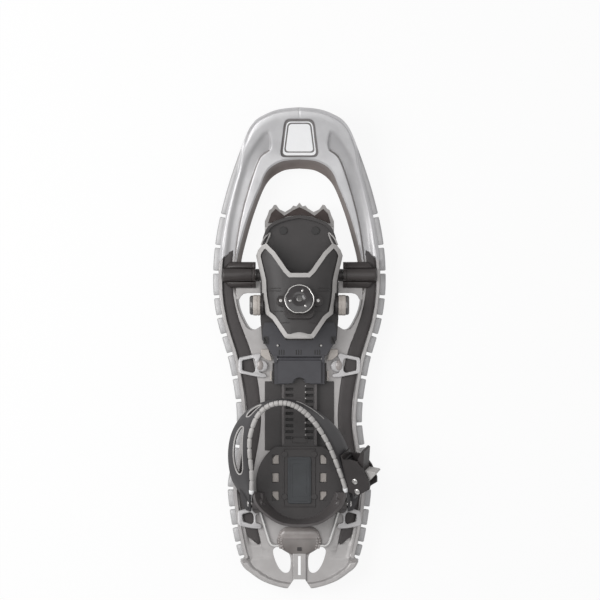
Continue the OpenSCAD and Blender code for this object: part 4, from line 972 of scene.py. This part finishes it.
def make_plate_detail():
    """Small raised marks on the middle plate, loops at its sides, and index dots on the rail."""
    bars = []
    for middle in (-20.8, -1.0, 20.6):
        for k in (-1, 0, 1):
            x = middle + 2.7 * k
            bars.append(slab("bar", box_plan(x - 0.55, -7.2, x + 0.55, -1.4), 38.8, 39.6, 0.2))
    fit(weld("plate_bars", bars), "binding", jet, "black_plastic")
    loop = slab("side_loops", rounded(box_plan(36.4, 5.2, 41.6, 14), 0.8, 3), 38.8, 41.0)
    pick_faces(loop, lambda face: face.normal.z > 0.9)
    bpy.ops.mesh.inset(thickness=1.2 * MM, depth=0)
    bpy.ops.mesh.extrude_region_move(TRANSFORM_OT_translate={"value": (0, 0, -1.6 * MM)})
    bpy.ops.object.mode_set(mode="OBJECT")
    soften(loop, 0.25)
    fit(twin(loop), "binding", jet, "black_plastic")
    dots = []
    for k in range(9):
        y = -43.4 - 7.05 * k
        dots.append(put(
            turned("dot", [(0.02, 31.5), (0.75, 31.5), (0.75, 31.75), (0.5, 31.86), (0.02, 31.86)], 10),
            Matrix.Translation((7.0, y, 0)),
        ))
    fit(soften(weld("index_dots", dots), 0), body_of["rail"], pale, "pale_grey")
    edge = slab("rail_edges", box_plan(17.4, -111, 20.3, 12), 31.2, 31.86, 0.25)
    fit(twin(edge), body_of["rail"], cup_black, "black_plastic")
    lo, hi = (np.array(c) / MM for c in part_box("mid_plate_screws"))
    head = turned("plate_screw_heads", [
        (0.02, lo[2]), (1.3, lo[2]), (1.3, hi[2] - 0.4), (0.9, hi[2]), (0.02, hi[2]),
    ], 20)
    put(soften(head, 0, smooth=40), Matrix.Translation((25, (lo[1] + hi[1]) / 2, 0)))
    fit(twin(head), body_of["mid_plate_screws"], zinc, "steel", "mid_plate_screws")


def raised_line(x0, y0, x1, y1, w, low, high):
    """A rectangular raised line."""
    line = slab("line", box_plan(x0, y0, x1, y1), low, high)
    cut(line, slab("inside", box_plan(x0 + w, y0 + w, x1 - w, y1 - w), low - 1, high + 1))
    return soften(line, min(w, high - low) * 0.3)


def make_heel_detail():
    """Raised lines round the heel pad and the plate, and pale panes in the plate's windows."""
    body = body_of["heel_plate"]
    lines = [
        raised_line(-11.6, -176.5, 11.6, -127.5, 0.8, 37.4, 37.95),
        raised_line(-8.6, -171.5, 8.6, -132.5, 0.7, 37.4, 37.85),
    ]
    fit(weld("pad_lines", lines), body, slate, "blue_grey")
    ribs = [
        raised_line(-18.6, -183, 18.6, -115, 1.3, 35.4, 36.7),
        raised_line(-9.5, -109.5, 9.5, -101.5, 1.2, 31.4, 32.4),
    ]
    fit(weld("heel_ribs", ribs), body, black, "black_plastic")
    floors = [slab("floor", box_plan(23.3, y - 5.7, 31.7, y + 5.7), 32.2, 33.2) for y in (-128, -149, -170)]
    panes = [slab("pane", plan, 33.1, 33.9, 0.3) for plan in (
        [(23.9, -133), (31.1, -133), (31.1, -127.2), (27.4, -123), (23.9, -123)],
        box_plan(23.9, -154, 31.1, -144),
        [(23.9, -175), (26, -175), (31.1, -169.4), (31.1, -165), (23.9, -165)],
    )]
    fit(twin(weld("window_floors", floors)), body, black, "black_plastic")
    fit(twin(weld("window_panes", panes)), body, pane_beige, "beige_plastic")


# Ankle strap, its two edges measured from its rivets
PIVOT = np.array((0, -178, 50.6))
ENDS = 55.48
BEADS = 29
ROLL_FROM, ROLL_SHARE = 0.111, 0.778
UPPER = [
    (-ENDS, -9, 6.5), (-ENDS, 0, 10), (-55, 17.5, 16.5), (-55, 38.5, 26.5), (-57, 59.5, 36.5), (-56, 80, 44.5),
    (-48, 101.5, 52.5), (-35, 113.5, 57.5), (-19, 117, 60.5), (-5, 113.5, 60.5), (8, 104.5, 56.5), (20, 91, 50.5),
    (30, 75, 43.5), (38, 58.5, 35.5), (45, 40.5, 27.5), (52, 20, 18.5), (ENDS, 0, 10), (ENDS, -9, 6.5),
]
LOWER = [
    (-ENDS, -9, -6.5), (-ENDS, 0, -9.5), (-66, 12, -8.5), (-76.5, 30, -4), (-80, 55.5, 4.5), (-76, 80.5, 13.5),
    (-64, 100.5, 24.5), (-47, 112.3, 34.5), (-27, 118.4, 41.5), (-7, 117.4, 42.5), (11, 110.6, 38.5),
    (28, 99.5, 31.5), (43, 84.5, 22.5), (53, 65.5, 13.5), (59, 45, 5.5), (60, 22, -3.5), (ENDS, 0, -9.5),
    (ENDS, -9, -6.5),
]


def strap_at(t, f, out):
    """A point of the strap: t along it, f from its lower to its upper edge, out from its inner face."""
    t = np.atleast_1d(np.asarray(t, float))
    u, v = along(UPPER, t), along(LOWER, t)
    last = len(UPPER) - 1
    ahead, behind = np.clip(t + 0.05, 0, last), np.clip(t - 0.05, 0, last)
    way = along(UPPER, ahead) + along(LOWER, ahead) - along(UPPER, behind) - along(LOWER, behind)
    n = np.cross(u - v, way)
    n /= np.linalg.norm(n, axis=1)[:, None]
    return PIVOT + v + (u - v) * np.asarray(f).reshape(-1, 1) + n * np.asarray(out).reshape(-1, 1)


WINDOWS = [(4.22, 1.2, 0.51, 0.25), (6.42, 0.52, 0.51, 0.22)]


def oval(window, grow, out):
    """The rim of a window in the strap."""
    t0, dt, f0, df = window
    a = np.linspace(0, 2 * np.pi, 40, endpoint=False)
    c, s = np.cos(a), np.sin(a)
    t = t0 + (dt + grow * 0.05) * np.sign(c) * np.abs(c) ** 0.8
    f = f0 + (df + grow * 0.05) * np.sign(s) * np.abs(s) ** 0.8
    return [tuple(p) for p in strap_at(t, f, np.full(40, out))]


def make_strap():
    """The band with its windows, their piping and the sewn line at the front."""
    section = [
        (0.02, 0.15), (0.25, 0.0), (0.5, 0.0), (0.75, 0.0), (0.92, 0.15), (0.95, 0.7), (0.958, 1.5), (0.95, 2.4),
        (0.92, 2.95), (0.75, 3.1), (0.5, 3.2), (0.25, 3.1), (0.02, 2.95), (-0.012, 2.4), (-0.02, 1.5), (-0.012, 0.7),
    ]
    rings = []
    for t in np.linspace(0, len(UPPER) - 1, 137):
        rings.append([tuple(strap_at(t, f, out)[0]) for f, out in section])
    strap = skin("ankle_band", rings)
    for window in WINDOWS:
        cut(strap, skin("window_tool", [oval(window, 0, -7), oval(window, 0, 1.5), oval(window, 0, 9)]))
    fit(soften(strap, 0, smooth=40), body_of["ankle_strap"], strap_black, "strap_black", "ankle_strap")
    piping = [tube("piping", oval(window, -0.3, 2.6), 0.95, 8, closed=True) for window in WINDOWS]
    stitch = [tuple(strap_at(t, 0.3, 3.2)[0]) for t in np.linspace(9.1, 11.0, 30)]
    piping.append(tube("stitch", stitch, 0.45, 8))
    fit(soften(weld("strap_piping", piping), 0, smooth=70), body_of["strap_trim"], pale, "pale_grey", "strap_trim")
    make_roll()


def make_roll():
    """A padded roll sewn into beads along the strap's upper edge, short ones round the bend."""
    fine = flow(UPPER, 24) + PIVOT
    side = np.abs(np.linspace(-1, 1, BEADS))
    lengths = 1 + 0.9 * ease((side - 0.2) / 0.6)
    marks = np.concatenate([[0], np.cumsum(lengths)]) / lengths.sum()
    within = np.array((0, 0.05, 0.13, 0.32, 0.68, 0.87, 0.95))
    step = np.append((np.arange(BEADS)[:, None] + within).ravel(), BEADS)
    s = ROLL_FROM + ROLL_SHARE * np.interp(step, np.arange(BEADS + 1), marks)
    at = s * (len(fine) - 1)
    low = np.floor(at).astype(int)
    path = fine[low] + (fine[np.minimum(low + 1, len(fine) - 1)] - fine[low]) * (at - low)[:, None]
    bead = np.clip(np.abs(step - np.round(step)) / 0.13, 0, 1) ** 0.6
    slim = 1 - 0.16 * ease((side - 0.25) / 0.5)
    r = (1.75 + 1.3 * bead) * np.interp(step, np.arange(BEADS) + 0.5, slim)
    r[0] = r[-1] = 1.6
    roll = tube("strap_beads", path, r, 12)
    fit(soften(roll, 0, smooth=70), body_of["strap_roll"], pale, "pale_grey", "strap_roll")
    tips = []
    for a, b in ((path[3], path[0]), (path[-4], path[-1])):
        way = (b - a) / np.linalg.norm(b - a)
        line = [b + way * k for k in (-1.0, 0.2, 2.2, 4.0, 4.8)]
        tips.append(tube("tip", line, (2.9, 3.0, 2.8, 2.2, 1.0), 12))
    fit(soften(weld("roll_tips", tips), 0, smooth=60), body_of["strap_roll"], white, "pale_grey")


def buckle_place(x, y, z):
    """A place in the buckle's own frame: out from the strap, along it and across it."""
    up, low = flow(UPPER, 6) + PIVOT, flow(LOWER, 6) + PIVOT
    front, mid, back = 78, 85, 92
    by = low[front] + up[front] - low[back] - up[back]
    by /= np.linalg.norm(by)
    bx = np.cross(by, up[mid] - low[mid])
    bx /= np.linalg.norm(bx)
    bz = np.cross(bx, by)
    spot = (low[mid] + up[mid]) / 2 + bx * (3.9 + x) + by * y + bz * z
    return Matrix([*zip(bx, by, bz, spot), (0, 0, 0, 1)])


def make_buckle_rivets():
    """Rivet heads on both cheeks of the buckle."""
    heads = []
    for y in (-22, -9):
        for side in (1, -1):
            head = turned("head", [
                (0.02, 0), (3.7, 0), (3.7, 0.7), (3.1, 1.4), (1.7, 1.6), (1.4, 1.0), (0.02, 1.0),
            ], 20)
            if side < 0:
                head.data.transform(Matrix.Rotation(math.pi, 4, "X"))
            heads.append(put(head, buckle_place(12, y, 10 * side)))
    fit(soften(weld("buckle_rivet_heads", heads), 0, smooth=45), body_of["buckle_pins"], steel, "steel")


def make_ladder():
    """The toothed strap in the buckle, its free end tucked under the cheeks."""
    plan = [(2.3, 17), (2.3, -34), (4.2, -34)]
    for k in range(10):
        y = -32.4 + 4.8 * k
        plan += [(4.7, y), (4.7, y + 2.2), (3.9, y + 2.6), (3.9, y + 4.4)]
    plan += [(4.7, 15.6), (4.7, 17)]
    ladder = put(soften(slab("ladder_band", plan, -6.5, 6.5), 0.2), buckle_place(0, 0, 0))
    fit(ladder, body_of["ladder_strap"], strap_black, "strap_black", "ladder_strap")


def make_strap_ends():
    """Moulded ends that carry the strap round its rivets, and the cup's ears behind them."""
    plan = [(58.4, -157), (69.5, -157), (68.2, -168), (65.2, -178), (61.5, -186.2), (58.4, -187)]
    ends = slab("strap_end_pads", rounded(plan, 2.0, 4), 43, 50.5, 1.6, 3)
    fit(twin(ends), body_of["ankle_strap"], strap_black, "strap_black")
    plan = [(42, -166), (52.5, -167), (54.6, -172), (54.6, -186), (51, -190), (42, -188)]
    ears = slab("cup_ears", rounded(plan, 2.0, 4), 41, 48.5, 1.2, 3)
    fit(twin(ears), body_of["heel_cup"], cup_black, "black_plastic")


def make_knobs():
    """Side knobs: a broad fluted ring with a thin dark cap."""

    def fluted(turn):
        return 1 + 0.022 * np.cos(9 * turn)

    axis = Matrix.Translation((44.9, 50, 49)) @ Matrix.Rotation(math.radians(90), 4, "Y")
    ring = turned("knob_right_ring", [
        (3.2, 0.0), (10.6, 0.0), (11.5, 0.5), (11.8, 1.4), (11.8, 2.6), (11.3, 3.0), (11.3, 3.4), (11.8, 3.8),
        (11.8, 7.0), (11.4, 8.2), (10.6, 8.6), (3.2, 8.6),
    ], 54, fluted)
    cap = turned("knob_right_cap", [
        (3.2, 8.6), (10.9, 8.6), (11.1, 9.1), (10.9, 10.8), (10.2, 11.9), (8.8, 12.4), (7.0, 12.0), (6.6, 11.4),
        (0.02, 11.4),
    ], 54, fluted)
    for part, finish, slot, node in (
        (ring, beige, "beige_plastic", "knob"), (cap, dark_steel, "black_plastic", "knob_cap"),
    ):
        fit_pair(put(soften(part, 0, smooth=40), axis), finish, slot, node)


# Heel lifter
THUMB_FOOT = 24.5
THUMB_STEP = -219.5


def thumb_half(y):
    """Half the thumb piece's width."""
    return np.interp(y, [-238.6, -236.6, -230, -222, -211, -206], [9.8, 13.5, 24.6, 26.8, 23, 16])


def make_lifter_grip():
    """A smoky thumb piece: a full cushion at the front, sloping away behind, with knurled sides; its rear part is
    painted darker as shade.
    """
    ys = [-206, -206.6, -208, -210.5, -213, -215.5, -217.6, -219.4, -222, -226, -230, -234, -236.6, -238, -238.6]
    high = [2.4, 4.2, 5.6, 6.6, 6.8, 6.7, 6.2, 5.4, 5.6, 5.5, 5.2, 4.4, 3.4, 2.0, 0.6]
    across = np.linspace(-1, 1, 25)
    rings = []
    for y, w, h in zip(ys, thumb_half(ys), high):
        top = [(w * u, y, THUMB_FOOT + h * (1 - abs(u) ** 7) ** 0.5 - 0.1 * h * (1 - abs(u)) ** 2) for u in across]
        rings.append(top + [(w * k, y, THUMB_FOOT - 0.15) for k in (0.98, 0, -0.98)])
    grip = skin("lifter_thumb", rings)
    use(grip, "SUBSURF", levels=1, render_levels=1)
    take(grip)
    bpy.ops.object.shade_smooth()
    grip.data.materials.append(dome_grey)
    grip.data.materials.append(dome_shade)
    # Painted shade: faces behind the step take the darker copy.
    for face in grip.data.polygons:
        face.material_index = int(face.center.y < THUMB_STEP * MM)
    fit(grip, "lifter", None, "deck_grey", "lifter_grip")
    knurls = []
    for k in range(7):
        y = -211.5 - 3.0 * k
        w = float(thumb_half(y))
        for inset in (2.6, 5.6):
            x = w - inset
            h = THUMB_FOOT + 5.0 * (1 - (x / w) ** 7) ** 0.5
            bead = turned("bead", [(0.02, -1), (1.5, -1), (1.5, 0.4), (1.0, 1.1), (0.02, 1.3)], 8)
            knurls.append(put(bead, Matrix.Translation((x, y - inset * 0.25, h))))
    fit(soften(twin(weld("thumb_knurls", knurls)), 0, smooth=50), "lifter", dome_grey, "deck_grey")
    mark = slab("thumb_mark", rounded(box_plan(-2.6, -234, 2.6, -229.6), 0.6, 3), 27.2, 29.6, 0.3)
    fit(mark, "lifter", black, "black_plastic")


set_up_camera()
set_up_light()
lay_floor()
make_deck()
make_fins()
make_strips()
make_label()
make_bridges()
make_housings()
make_braces()
make_shell_trim()
make_dial()
make_plate_detail()
make_heel_detail()
make_strap()
make_buckle_rivets()
make_ladder()
make_strap_ends()
make_knobs()
make_lifter_grip()

# Pieces that keep the shape of their solids, some with their own edge rounding
dress("centre_pad", black, "dark_rubber", 0.4)
dress("lifter_lugs", silver, "deck_grey", 0.9, 3)
dress("corner_stops", beige, "beige_plastic", 0.6)
for name in ("deck_spikes", "axle_rod", "axle_screws", "dial_rivets", "knob_studs", "latch_pin", "strap_rivets",
             "buckle_pins", "ratchet_pawl"):
    dress(name, steel, "steel", 0.25)
dress("lifter_wire", wire_steel, "steel", 0.25)
dress("front_claw", zinc, "steel", 0.35)
dress("claw_cover", claw_brown, "steel", 0.3).data.transform(Matrix.Diagonal((1.06, 1, 1, 1)))
dress("heel_bumper", strip_brown, "black_plastic", 1.2, 3)
for name in ("toe_plate", "dial_housing", "rail", "heel_plate", "buckle_base", "ratchet_lever"):
    dress(name, black, "black_plastic", 0.5)
for name in ("dial_spool", "axle_bushes", "heel_screws"):
    dress(name, black, "black_plastic", 0.3)
dress("claw_screws", jet, "black_plastic", 0.3)
dress("heel_cup", cup_black, "black_plastic", 0.5)
dress("forefoot_shell", gloss_black, "black_plastic", 0.5)
for name in ("shell_rim", "lever_tab"):
    dress(name, pale, "pale_grey", 0.4)
dress("mid_plate", blue_grey, "blue_grey", 0.5)
thumb = [(8.4 * math.cos(a), -41.5 + 8.2 * math.sin(a)) for a in np.linspace(0, 2 * np.pi, 40, endpoint=False)]
dress("length_latch", blue_grey, "blue_grey", 0.5, tool=slab("thumb_tool", thumb, 36.2, 45))
dress("heel_pad", slate, "blue_grey", 0.6)
